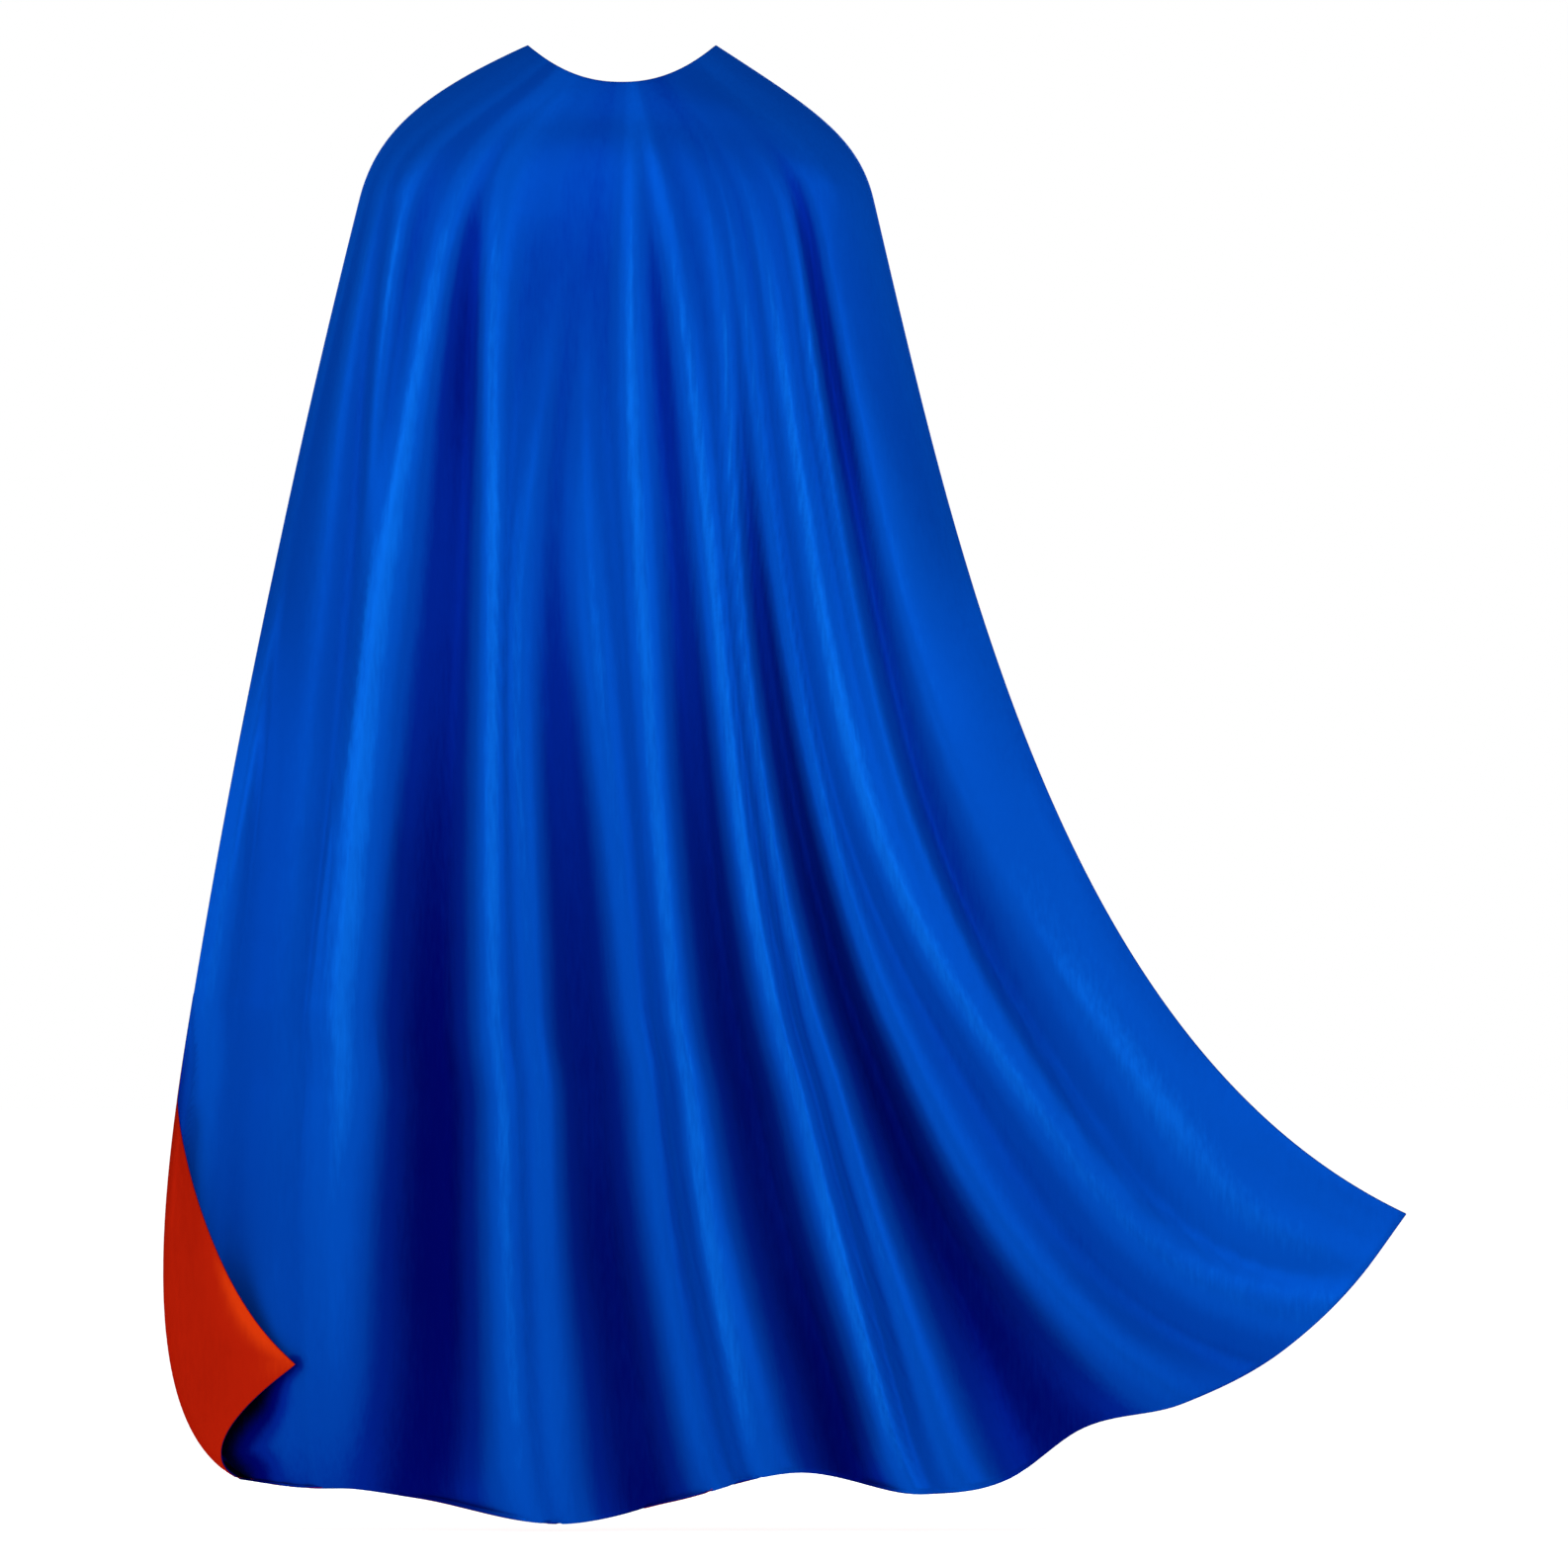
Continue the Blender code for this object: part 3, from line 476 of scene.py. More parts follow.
def yoke_row(tau, k):
    """One row of the yoke, from k = 0 at the neckline to 1 at the shoulder ring, and its fold levels."""
    angle = tau * PANEL_NECK_ANGLE
    top, (ring, _) = neckline(angle), skirt_row(tau, 0.0)
    towards_back = np.maximum(np.cos(angle), 0)
    towards_front = np.maximum(-np.cos(angle), 0)
    towards_left = np.maximum(-np.sin(angle), 0)
    fall = FALL_AT_SIDES + FALL_MORE_AT_LEFT * towards_left
    fall = fall + FALL_MORE_AT_BACK * towards_back**2 + FALL_MORE_AT_FRONT * towards_front
    leave = unit(np.stack((np.sin(angle), -np.cos(angle), -fall), axis=-1))
    arrive = unit(skirt_row(tau, SKIRT_START)[0] - ring)
    span = np.linalg.norm(ring - top, axis=-1, keepdims=True)
    lead = (YOKE_LEAVE + YOKE_LEAVE_MORE_AT_BACK * towards_back**2)[:, None] * span
    row = bezier(top, top + lead * leave, ring - YOKE_ARRIVE * span * arrive, ring, k)
    across = (np.sin(tau * SHOULDER_WRAP) + 1) / 2
    return row, fold_level(across, mix(FOLD_ROWS[0], 0.0, k**FOLD_ONSET))


def flap_row(corner, p, along):
    """The turned corner's row that starts at the point corner, at distances along it."""
    radius = roll_radius(p)
    turned = np.minimum(along / radius, math.pi)
    straight = np.maximum(along - math.pi * radius, 0)
    inwards = straight - radius * np.sin(turned)
    outwards = radius * (1 - np.cos(turned)) + FLAP_LIFT * (straight / TURN_REACH) ** 2
    dx, dz = TURN_DIRECTION
    return corner + np.stack((dx * inwards, -outwards, dz * inwards), axis=-1)


def flap_sheen(p, share):
    """Level of the lining on the turned corner, a painted sheen: brightest in painted highlights next to the upper
    free edge.
    """
    height, across, down = LINING_SHEEN_WAVE
    level = LINING_LEVEL + LINING_RISE * ease(p / LINING_RISE_UNTIL) + height * np.sin(across * share + down * p)
    for height, across, width, down, length in LINING_HIGHLIGHTS:
        level = level + height * np.exp(-(((share - across) / width) ** 2) - ((p - down) / length) ** 2)
    return level


def flap_hem():
    """The turned corner's lower free edge, from its tip to the hem."""
    edge = []
    for p in np.linspace(TURN_TIP_AT, 1, FLAP_HEM_SAMPLES):
        corner = skirt_row(np.array([-1.0]), mix(TURN_START, 1, p))[0][0]
        edge.append(flap_row(corner, p, np.array([flap_length(p)]))[0])
    return np.array(edge)


def beside_flap(points):
    """Painted shadow: how much light is painted on the outer side next to the turned corner's lower edge, least away
    from its tip.
    """
    distance = np.linalg.norm(points[:, None, ::2] - FLAP_HEM[None, :, ::2], axis=-1)
    from_tip = ease(np.linspace(0, 1, len(FLAP_HEM)) / TIP_SHADE_LENGTH)
    reach = mix(TIP_SHADE_REACH, FLAP_SHADE_REACH, from_tip)
    return 1 - FLAP_SHADE * np.max(mix(TIP_SHADE, 1, from_tip) * (1 - ease(distance / reach)), axis=1)


FLAP_HEM = flap_hem()


def left_zone(v):
    """The columns from the free left edge to where the fixed columns start, spread evenly along the cloth."""
    inner = -1 + 2 * LEFT_ZONE_SHARE
    tau = np.linspace(-1, inner, ZONE_SAMPLES)
    body, levels = skirt_row(tau, v)
    light, reach = np.ones(len(tau)), 0.0
    if v > TURN_START:
        p = (v - TURN_START) / (1 - TURN_START)
        reach = flap_length(p)
        roll = math.pi * roll_radius(p)
        along = np.linspace(reach, 0, ZONE_SAMPLES)[:-1]
        body = np.concatenate((flap_row(body[0], p, along), body))
        # Painted shade on the corner's blue underside near the hem, then the painted shadow beside the corner.
        under_flap = 1 - FLAP_SHADE * ease((p - UNDER_FLAP_FROM) / UNDER_FLAP_LENGTH)
        light = np.concatenate((np.full(len(along), under_flap), beside_flap(body[len(along) :])))
        levels = np.concatenate((LEVEL_TURNED_OVER - flap_sheen(p, along / max(reach, LEAST_STEP)), levels))
    steps = np.linalg.norm(np.diff(body, axis=0), axis=1)
    length = np.concatenate(([0.0], np.cumsum(steps)))
    if reach:
        middle = (length[1:] + length[:-1]) / 2
        steps = steps * np.where(np.abs(middle - reach + roll / 2) < roll / 2, ROLL_DENSITY, 1.0)
        length = np.concatenate(([0.0], np.cumsum(steps)))
    wanted = np.linspace(0, length[-1], LEFT_COLUMNS + 1)[:-1]
    points = np.stack([np.interp(wanted, length, body[:, axis]) for axis in range(3)], axis=-1)
    places = np.interp(wanted, length, np.concatenate((np.full(len(body) - ZONE_SAMPLES, -1.0), tau)))
    return points, np.interp(wanted, length, levels), np.interp(wanted, length, light), places


def cape_surface():
    """The middle surface as a grid of points from the neckline to the hem, with each point's level and light."""
    fixed = np.linspace(-1 + 2 * LEFT_ZONE_SHARE, 1, RIGHT_COLUMNS)
    tau = np.concatenate((left_zone(0.0)[3], fixed))
    rows, levels, lights = [], [], []
    for k in np.linspace(0, 1, YOKE_STEPS + 1)[:-1]:
        row, level = yoke_row(tau, k)
        rows.append(row)
        levels.append(level)
        lights.append(np.ones(len(tau)))
    above = np.linspace(0, TURN_START, round(SKIRT_STEPS * TURN_START) + 1)
    tip = mix(TURN_START, 1, TURN_TIP_AT)
    to_tip = np.linspace(TURN_START, tip, round(SKIRT_STEPS * (tip - TURN_START)) + 1)[1:]
    to_hem = np.linspace(tip, 1, round(SKIRT_STEPS * (1 - tip)) + 1)[1:]
    for v in np.concatenate((above, to_tip, to_hem)):
        left, left_levels, left_light, _ = left_zone(v)
        right, right_levels = skirt_row(fixed, v)
        rows.append(np.concatenate((left, right)))
        levels.append(np.concatenate((left_levels, right_levels)))
        lights.append(np.concatenate((left_light, np.ones(len(fixed)))))
    return soften_shoulder(np.array(rows)), np.array(levels), np.array(lights)


def soften_shoulder(grid):
    """Rounds the change of slope where the yoke meets the skirt, most at the centre back."""
    from_ring = np.abs(np.arange(len(grid)) - YOKE_STEPS) / SHOULDER_SOFT_ROWS
    from_side = SHOULDER_BACK_Y + SOFT_DEPTH - grid[YOKE_STEPS, :, 1]
    near_back = ease(from_side / SOFT_DEPTH)
    pull = 0.5 * (ease(1 - from_ring)[1:-1, None] * near_back[None, :])[..., None]
    for _ in range(SHOULDER_SOFT_PASSES):
        middle = (grid[:-2] + grid[2:]) / 2
        grid[1:-1] += pull * (middle - grid[1:-1])
    return grid


# -------- meshes


def new_object(name, data, spot=(0, 0, 0)):
    """A new object in the scene."""
    obj = bpy.data.objects.new(name, data)
    obj.location = spot
    bpy.context.scene.collection.objects.link(obj)
    return obj


def mesh_object(name, points, faces, material, levels=None):
    """A smooth mesh object from design points. Cloth gives each point's fold level to its material, which paints
    shade and highlight into the base colour from it.
    """
    mesh = bpy.data.meshes.new(name)
    mesh.from_pydata(place(points).tolist(), [], faces)
    if levels is not None:
        mesh.attributes.new("fold_level", "FLOAT", "POINT").data.foreach_set("value", np.float32(levels))
    mesh.shade_smooth()
    mesh.materials.append(material)
    return new_object(name, mesh)


def grid_normals(grid):
    """Unit normals of a grid of points, on the side that faces -Y where the cape hangs flat."""
    down = np.gradient(grid, axis=0)
    right = np.gradient(grid, axis=1)
    return -unit(np.cross(right, down))


def past_edge(edge, inside):
    """Directions that lead past an edge of the cloth: away from the line of points inside it, square to the edge."""
    away, along = edge - inside, unit(np.gradient(edge, axis=0))
    return unit(away - np.sum(away * along, axis=-1, keepdims=True) * along)


def ring_steps(size, rings):
    """For size points with rings more at each end: every place's nearest point, and how many rings past it."""
    places = np.arange(-rings, size + rings)
    nearest = np.clip(places, 0, size - 1)
    return nearest, np.abs(places - nearest)


def rounded_grid(grid, normals, rings, most, radius):
    """The grid lifted by radius, its edges carried round through the angle most by extra rings."""
    (row_at, over_row), (column_at, over_column) = (ring_steps(size, rings) for size in grid.shape[:2])
    base, normal = grid[row_at][:, column_at], normals[row_at][:, column_at]
    up, down = past_edge(grid[0], grid[1]), past_edge(grid[-1], grid[-2])
    left, right = past_edge(grid[:, 0], grid[:, 1]), past_edge(grid[:, -1], grid[:, -2])
    outward = np.zeros_like(base)
    outward[:rings] += up[column_at][None] * over_row[:rings, None, None]
    outward[-rings:] += down[column_at][None] * over_row[-rings:, None, None]
    outward[:, :rings] += left[row_at][:, None] * over_column[None, :rings, None]
    outward[:, -rings:] += right[row_at][:, None] * over_column[None, -rings:, None]
    outward = outward - np.sum(outward * normal, axis=-1, keepdims=True) * normal
    angle = most * np.maximum(over_row[:, None], over_column[None, :])[..., None] / rings
    return base + radius * (np.cos(angle) * normal + np.sin(angle) * unit(outward))


def solid_from_faces(front, back):
    """Points and quads of the closed solid between two grids of the same shape. front's normals point out."""
    rows, columns, _ = front.shape
    index = np.arange(rows * columns).reshape(rows, columns)
    quads = np.stack((index[1:, :-1], index[1:, 1:], index[:-1, 1:], index[:-1, :-1]), axis=-1).reshape(-1, 4)
    shift = rows * columns
    around = np.concatenate((index[0, :-1], index[:-1, -1], index[-1, :0:-1], index[:0:-1, 0]))
    after = np.roll(around, -1)
    rim = np.stack((around, after, after + shift, around + shift), axis=-1)
    points = np.concatenate((front.reshape(-1, 3), back.reshape(-1, 3)))
    return points, np.concatenate((quads, quads[:, ::-1] + shift, rim)).tolist()


def cloth_layer(name, grid, normals, side, material, levels):
    """One satin panel as a closed sheet. side 1 is the outer panel, which rolls over the seam, -1 the lining."""
    most = ROLLED_OVER if side > 0 else math.pi - ROLLED_OVER - BETWEEN_EDGES
    flip = slice(None, None, side)
    grid, facing, levels = grid[:, flip], side * normals[:, flip], levels[:, flip]
    front = rounded_grid(grid, facing, EDGE_RINGS, most, OUTER_RADIUS)
    back = rounded_grid(grid, facing, EDGE_RINGS, most, INNER_RADIUS)
    points, faces = solid_from_faces(front, back)
    over_row, over_column = (ring_steps(size, EDGE_RINGS)[1] for size in levels.shape)
    ring = np.maximum(over_row[:, None], over_column[None, :])
    # Painted shade: the edge rings darken to a dark outline.
    padded = np.pad(levels, EDGE_RINGS, mode="edge") * mix(1.0, EDGE_SHADE, ring / EDGE_RINGS)
    return mesh_object(name, points, faces, material, np.tile(padded.ravel(), 2))


# -------- materials


class Nodes:
    """Adds nodes to one material and links them."""

    def __init__(self, name):
        self.material = bpy.data.materials.new(name)
        self.material.use_nodes = True
        self.tree = self.material.node_tree
        self.shader = self.tree.nodes["Principled BSDF"]

    def add(self, kind, inputs=None, **settings):
        node = self.tree.nodes.new(kind)
        for key, value in settings.items():
            setattr(node, key, value)
        for key, value in (inputs or {}).items():
            self.set(node.inputs[key], value)
        return node

    def set(self, socket, value):
        if isinstance(value, bpy.types.NodeSocket):
            self.tree.links.new(value, socket)
        else:
            socket.default_value = value

    def shade(self, **inputs):
        for key, value in inputs.items():
            self.set(self.shader.inputs[key.replace("_", " ").title().replace("Ior", "IOR")], value)

    def math(self, operation, a, b=0.0, clamp=False):
        node = self.add("ShaderNodeMath", operation=operation, use_clamp=clamp)
        self.set(node.inputs[0], a)
        self.set(node.inputs[1], b)
        return node.outputs[0]

    def swing(self, factor, share):
        """A factor's swing about one half, scaled."""
        return self.math("MULTIPLY", self.math("SUBTRACT", factor, 0.5), share)

    def noise(self, vector, scale, detail):
        return self.add("ShaderNodeTexNoise", {"Vector": vector, "Scale": scale, "Detail": detail}).outputs["Fac"]

    def stretch(self, vector, scale):
        return self.add("ShaderNodeMapping", {"Vector": vector, "Scale": scale}).outputs["Vector"]

    def bump(self, height, strength, distance, **more):
        inputs = {"Strength": strength, "Distance": distance, "Height": height, **more}
        return self.add("ShaderNodeBump", inputs).outputs[0]

    def ramp(self, factor, stops):
        node = self.add("ShaderNodeValToRGB")
        node.color_ramp.interpolation = "EASE"
        elements = node.color_ramp.elements
        while len(elements) < len(stops):
            elements.new(0.5)
        for element, (position, colour) in zip(elements, stops):
            element.position = position
            element.color = (*colour, 1.0)
        self.set(node.inputs["Fac"], factor)
        return node.outputs["Color"]


SLUB_STRETCH = (620.0, 620.0, 85.0)
FLOAT_STRETCH = (2600.0, 2600.0, 420.0)
CLOUD_DRIFT = 0.10
SLUB_DRIFT = 0.08
FLOAT_ROUGHNESS = 0.12
BELOW_FLOOR = 0.4  # shadowed cloth has levels down to minus this


def satin(name, stops, tint, roughness):
    """Satin: long warp floats give a tinted, stretched highlight; the base colour carries painted shade, darker down
    in the fold valleys, and painted highlight on the crests.
    """
    n = Nodes(name)
    level = n.add("ShaderNodeAttribute", attribute_name="fold_level").outputs["Fac"]
    where = n.add("ShaderNodeTexCoord").outputs["Object"]
    slubs = n.noise(n.stretch(where, SLUB_STRETCH), 1.0, 2.0)
    drift = n.math("ADD", n.swing(n.noise(where, 9.0, 3.0), CLOUD_DRIFT), n.swing(slubs, SLUB_DRIFT))
    shade = n.math("MULTIPLY", n.math("ADD", level, BELOW_FLOOR), 1 / (1 + BELOW_FLOOR))
    n.shade(base_color=n.ramp(n.math("ADD", shade, drift, clamp=True), stops))
    floats = n.noise(n.stretch(where, FLOAT_STRETCH), 1.0, 2.0)
    weave = n.bump(floats, 0.16, 0.0002)
    n.shade(normal=n.bump(n.noise(where, 28.0, 4.0), 0.10, 0.004, Normal=weave))
    n.shade(roughness=n.math("ADD", n.swing(floats, FLOAT_ROUGHNESS), roughness), metallic=0.3)
    n.shade(specular_tint=(*tint, 1.0), specular_ior_level=0.0, anisotropic=0.5)
    n.shade(sheen_weight=0.03, sheen_tint=(*tint, 1.0), sheen_roughness=0.4)
    return n.material


# Ramps from the level to the base colour: painted shade, near black, at the lowest levels up to painted highlight at
# the highest.
BLUE = satin(
    "blue_satin",
    (
        (0.0, (0.0006, 0.0004, 0.004)),
        (0.286, (0.0001, 0.0014, 0.122)),
        (0.53, (0.0003, 0.015, 0.25)),
        (0.73, (0.0004, 0.045, 0.35)),
        (0.88, (0.0006, 0.062, 0.43)),
        (1.0, (0.002, 0.114, 0.61)),
    ),
    (0.05, 0.35, 1.0),
    0.40,
)
RED = satin(
    "red_satin",
    (
        (0.0, (0.02, 0.0006, 0.0004)),
        (0.286, (0.12, 0.002, 0.0008)),
        (0.53, (0.26, 0.005, 0.0012)),
        (0.73, (0.40, 0.011, 0.002)),
        (1.0, (0.62, 0.035, 0.003)),
    ),
    (1.0, 0.25, 0.08),
    0.42,
)

LAYERS = (("outer", 1, BLUE, "blue_satin"), ("lining", -1, RED, "red_satin"))

# -------- the cape


def stands_for(obj, body, node):
    """obj rides on the body in the place of the CAD node."""
    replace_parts(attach(obj, body), node)


GRID, LEVELS, LIGHT = cape_surface()
NORMALS = grid_normals(GRID)
# The outer panel's levels carry the folds' painted shade and highlight and the turned corner's painted shadow; the
# lining's are turned over, so its painted highlights lie where the outer side's valleys are.
for (layer, side, material, slot), levels in zip(LAYERS, (LEVELS * LIGHT, LEVEL_TURNED_OVER - LEVELS)):
    panel = cloth_layer(f"satin_{layer}_panel", GRID, NORMALS, side, material, levels)
    stands_for(panel, "cape", f"{layer}_panel")

# -------- sewing thread, interfacing and label


def resample(path, step):
    """The path at even steps along its length."""
    length = path_length(path)
    wanted = np.linspace(0, length[-1], max(round(length[-1] / step), 1) + 1)
    return np.stack([np.interp(wanted, length, values) for values in path.T], axis=-1)


def tube(centres, radii, sides, normal):
    """Points and faces of a closed tube through the centres. normal fixes the first corner's direction."""
    tangents = unit(np.gradient(centres, axis=0))
    across = unit(np.cross(tangents, normal))
    upwards = np.cross(across, tangents)
    turn = np.linspace(0, 2 * math.pi, sides, endpoint=False)
    ring = np.cos(turn)[None, :, None] * upwards[:, None] + np.sin(turn)[None, :, None] * across[:, None]
    points = (centres[:, None] + np.asarray(radii)[:, None, None] * ring).reshape(-1, 3)
    index = np.arange(len(points)).reshape(-1, sides)
    after = np.roll(index, -1, axis=1)
    quads = np.stack((index[:-1], after[:-1], after[1:], index[1:]), axis=-1).reshape(-1, 4)
    return points, quads.tolist() + [index[0, ::-1].tolist(), index[-1].tolist()]


def join_shapes(shapes):
    """One list of points and faces from several."""
    points, faces, start = [], [], 0
    for shape_points, shape_faces in shapes:
        points.append(shape_points)
        faces += [tuple(start + corner for corner in face) for face in shape_faces]
        start += len(shape_points)
    return np.concatenate(points), faces


def stitches(name, path, normals, radius, material):
    """A row of separate stitches along a path: each rises out of the cloth, runs a little way and dives back."""
    both = resample(np.concatenate((path, normals), axis=1), STITCH + STITCH_GAP)
    share, lift, size = np.array(STITCH_PROFILE)
    share = share * STITCH / (STITCH + STITCH_GAP)
    shapes = []
    for start, end in zip(both[:-1], both[1:]):
        normal = unit(start[3:])
        line = start[:3] + share[:, None] * (end - start)[:3] + (lift * radius)[:, None] * normal
        shapes.append(tube(line, size * radius, 6, normal))
    return mesh_object(name, *join_shapes(shapes), material)


def inset_index(line, distance):
    """The first index along a line of points that is at least distance from its start."""
    return int(np.searchsorted(path_length(line), distance))


def seam_path(grid, normals):
    """The perimeter seam, one seam allowance in from every edge, with the cloth's normals."""
    both = np.concatenate((grid, normals), axis=2)
    columns = [inset_index(row[:, :3], SEAM_ALLOWANCE) for row in both]
    back_columns = [-1 - inset_index(row[::-1, :3], SEAM_ALLOWANCE) for row in both]
    top = inset_index(grid[:, grid.shape[1] // 2], SEAM_ALLOWANCE)
    low = len(grid) - 1 - inset_index(grid[::-1, grid.shape[1] // 2], SEAM_ALLOWANCE)
    right = [both[row, back_columns[row]] for row in range(top, low + 1)]
    left = [both[row, columns[row]] for row in range(low, top - 1, -1)]
    over = list(both[top, columns[top] : back_columns[top]])
    under = list(both[low, columns[low] : back_columns[low]])[::-1]
    path = np.array(over + right + under + left)
    return path[:, :3], path[:, 3:]


def thin_sheet(name, grid, normals, low, high, material):
    """A closed sheet from low to high over a grid."""
    points, faces = solid_from_faces(grid + high * normals, grid + low * normals)
    return mesh_object(name, points, faces, material)


def corner_pull(along, radius):
    """How far a patch's edge pulls in where its round corners lie, from distances to its nearest end."""
    near = np.clip(radius - along, 0, radius)
    return radius - np.sqrt(radius**2 - near**2)


def design_box(node):
    """Low and high corners of a CAD piece, in the design's frame."""
    return [np.array(corner) / METRES + LABEL_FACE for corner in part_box(node)]


def care_label(material):
    """The blank woven label: a flat face on the CAD's, soft lower corners, and a top that leans to the seam."""
    low, high = design_box("care_label")
    bend = high[2] - LABEL_TOP_RISE
    stops = (low[2], low[2] + LABEL_FINE_PART, bend, high[2])
    z = np.unique(np.concatenate([np.linspace(*part) for part in zip(stops[:-1], stops[1:], LABEL_ROWS)]))[::-1]
    pull = corner_pull(z - low[2], LABEL_CORNER)
    u = np.linspace(0, 1, LABEL_COLUMNS)[None, :]
    x = mix((low[0] + pull)[:, None], (high[0] - pull)[:, None], u)
    lean = np.maximum(z - bend, 0) / LABEL_TOP_RISE * LABEL_TOP_LEAN
    y = np.broadcast_to((LABEL_FACE[1] - lean)[:, None], x.shape)
    grid = np.stack((x[:, ::-1], y, np.broadcast_to(z[:, None], x.shape)), axis=-1)
    face = np.zeros_like(grid)
    face[..., 1] = 1.0
    return thin_sheet("woven_care_label", grid, face, -LABEL_THICKNESS, 0.0, material)


def thread_material(name, colour):
    """Twisted polyester thread."""
    n = Nodes(name)
    where = n.add("ShaderNodeTexCoord").outputs["Object"]
    waves = {"Vector": where, "Scale": 900.0, "Distortion": 1.0}
    twist = n.add("ShaderNodeTexWave", waves, bands_direction="DIAGONAL").outputs["Fac"]
    dark = tuple(0.55 * channel for channel in colour)
    n.shade(base_color=n.ramp(twist, ((0.0, dark), (1.0, colour))), roughness=0.45)
    n.shade(specular_ior_level=0.2, normal=n.bump(twist, 0.4, 0.0001))
    return n.material


def fibre_material(name, colour, scale, roughness, contrast):
    """Matted or woven fibre, with specks of lighter and darker strands."""
    n = Nodes(name)
    where = n.add("ShaderNodeTexCoord").outputs["Object"]
    fibres = n.add("ShaderNodeTexNoise", {"Vector": where, "Scale": scale, "Detail": 5.0, "Roughness": 0.65})
    dark = tuple(channel * (1 - contrast) for channel in colour)
    light = tuple(min(channel * (1 + contrast), 1.0) for channel in colour)
    n.shade(base_color=n.ramp(fibres.outputs["Fac"], ((0.3, dark), (0.7, light))), roughness=roughness)
    n.shade(normal=n.bump(fibres.outputs["Fac"], 0.35, 0.0002))
    return n.material


def label_material():
    """White woven satin label: fine crosswise ribs and a lengthwise warp."""
    n = Nodes("woven_label")
    where = n.add("ShaderNodeTexCoord").outputs["Object"]
    ribs = n.add("ShaderNodeTexWave", {"Vector": where, "Scale": 620.0}, bands_direction="Z").outputs["Fac"]
    warp = n.add("ShaderNodeTexWave", {"Vector": where, "Scale": 900.0}, bands_direction="X").outputs["Fac"]
    cloth = n.math("MULTIPLY", ribs, warp)
    n.shade(base_color=n.ramp(cloth, ((0.0, (0.62, 0.62, 0.60)), (1.0, (0.86, 0.86, 0.84)))), roughness=0.5)
    n.shade(normal=n.bump(cloth, 0.3, 0.0001), sheen_weight=0.2)
    return n.material


THREAD = thread_material("blue_thread", (0.003, 0.06, 0.36))
FELTED = fibre_material("interfacing_fibre", (0.72, 0.72, 0.69), 900.0, 0.9, 0.15)
NYLON = fibre_material("hook_and_loop_nylon", (0.014, 0.014, 0.017), 1500.0, 0.6, 0.5)
LABEL = label_material()


seam = stitches("hidden_edge_seam", *seam_path(GRID, NORMALS), HIDDEN_THREAD_RADIUS, THREAD)
stands_for(seam, "cape", "edge_seam_thread")
strip = GRID[INTERFACING_ROWS, INTERFACING_COLUMNS], NORMALS[INTERFACING_ROWS, INTERFACING_COLUMNS]
interfacing = thin_sheet("neck_interfacing_strip", *strip, -INTERFACING_HALF, INTERFACING_HALF, FELTED)
stands_for(interfacing, "cape", "neck_interfacing")
stands_for(care_label(LABEL), "cape", "care_label")
ends = np.array(design_box("label_stitch"))
ends[:, 1:] = (ends[0, 1:] + ends[1, 1:]) / 2
top_normal = unit(np.array((0.0, LABEL_TOP_RISE, LABEL_TOP_LEAN)))
top_line = np.linspace(*ends, 9) - LABEL_STITCH_DEPTH * top_normal
label_thread = stitches("label_top_stitches", top_line, np.tile(top_normal, (9, 1)), THREAD_RADIUS, THREAD)
stands_for(label_thread, "cape", "label_stitch")

# -------- neck straps and closure


def band_point(angle, height, offset):
    """A point of the strap band: height 0 to 1 down from the neckline, offset outwards from its middle surface."""
    angle, height, offset = np.broadcast_arrays(np.asarray(angle, float), height, offset)
    out = unit(np.stack((np.sin(angle) / NECK_HALF_WIDTH, -np.cos(angle) / NECK_HALF_DEPTH, 0 * angle), axis=-1))
    up = np.array((0.0, 0.0, 1.0))
    from_root = math.pi - np.abs(math.pi - np.abs(angle)) - STRAP_ROOT
    lean = mix(STRAP_ROOT_LEAN, STRAP_FRONT_LEAN, ease(from_root / (math.pi - STRAP_ROOT)))[..., None]
    down = -up * np.cos(lean) + out * np.sin(lean)
    face = out * np.cos(lean) + up * np.sin(lean)
    return neckline(angle) + STRAP_WIDTH * height[..., None] * down + offset[..., None] * face


def tucked_point(angle, height):
    """A point of the strap's root where it lies against the inside of the cape's front corner."""
    tau = float(np.clip(angle / PANEL_NECK_ANGLE, -1, 1))
    column = np.array([yoke_row(np.array([tau]), k)[0][0] for k in np.linspace(0, TUCK_SHARE_OF_YOKE, 13)])
    wanted = TUCK_FROM_EDGE + STRAP_WIDTH * height
    point = np.array([np.interp(wanted, path_length(column), values) for values in column.T])
    return point - TUCK_DEPTH * (band_point(angle, height, 1.0) - band_point(angle, height, 0.0))


def strap_grid(sign):
    """The middle surface of one neck strap, from under the cape's front corner to the front centre."""
    rows, columns = STRAP_GRID
    heights, angles = np.linspace(0, 1, rows), np.linspace(STRAP_TUCKED, STRAP_END, columns)
    grid, lifted = (band_point(sign * angles[None, :], heights[:, None], offset) for offset in (0.0, 1.0))
    facing = lifted - grid
    out = ease((angles - TUCKED_UNTIL) / TUCK_LENGTH)
    for j in np.where(out < 1)[0]:
        tucked = np.array([tucked_point(sign * angles[j], height) for height in heights])
        grid[:, j] = mix(tucked, grid[:, j], out[j])
    ripple = np.sin(STRAP_RIPPLES * angles)[None, :] * ease((angles - STRAP_ROOT) / RIPPLE_GROWTH)
    grid += (STRAP_RIPPLE * np.sin(math.pi * heights)[:, None] * ripple)[..., None] * facing
    return grid if sign > 0 else grid[:, ::-1]


def blended_layers(name, node, grid, levels):
    """The two satin layers over a grid, in place of the CAD node's layers."""
    normals = grid_normals(grid)
    for layer, side, material, slot in LAYERS:
        obj = cloth_layer(name.format(layer), grid, normals, side, material, levels)
        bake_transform(obj)
        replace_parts(obj, f"{node}_{layer}")


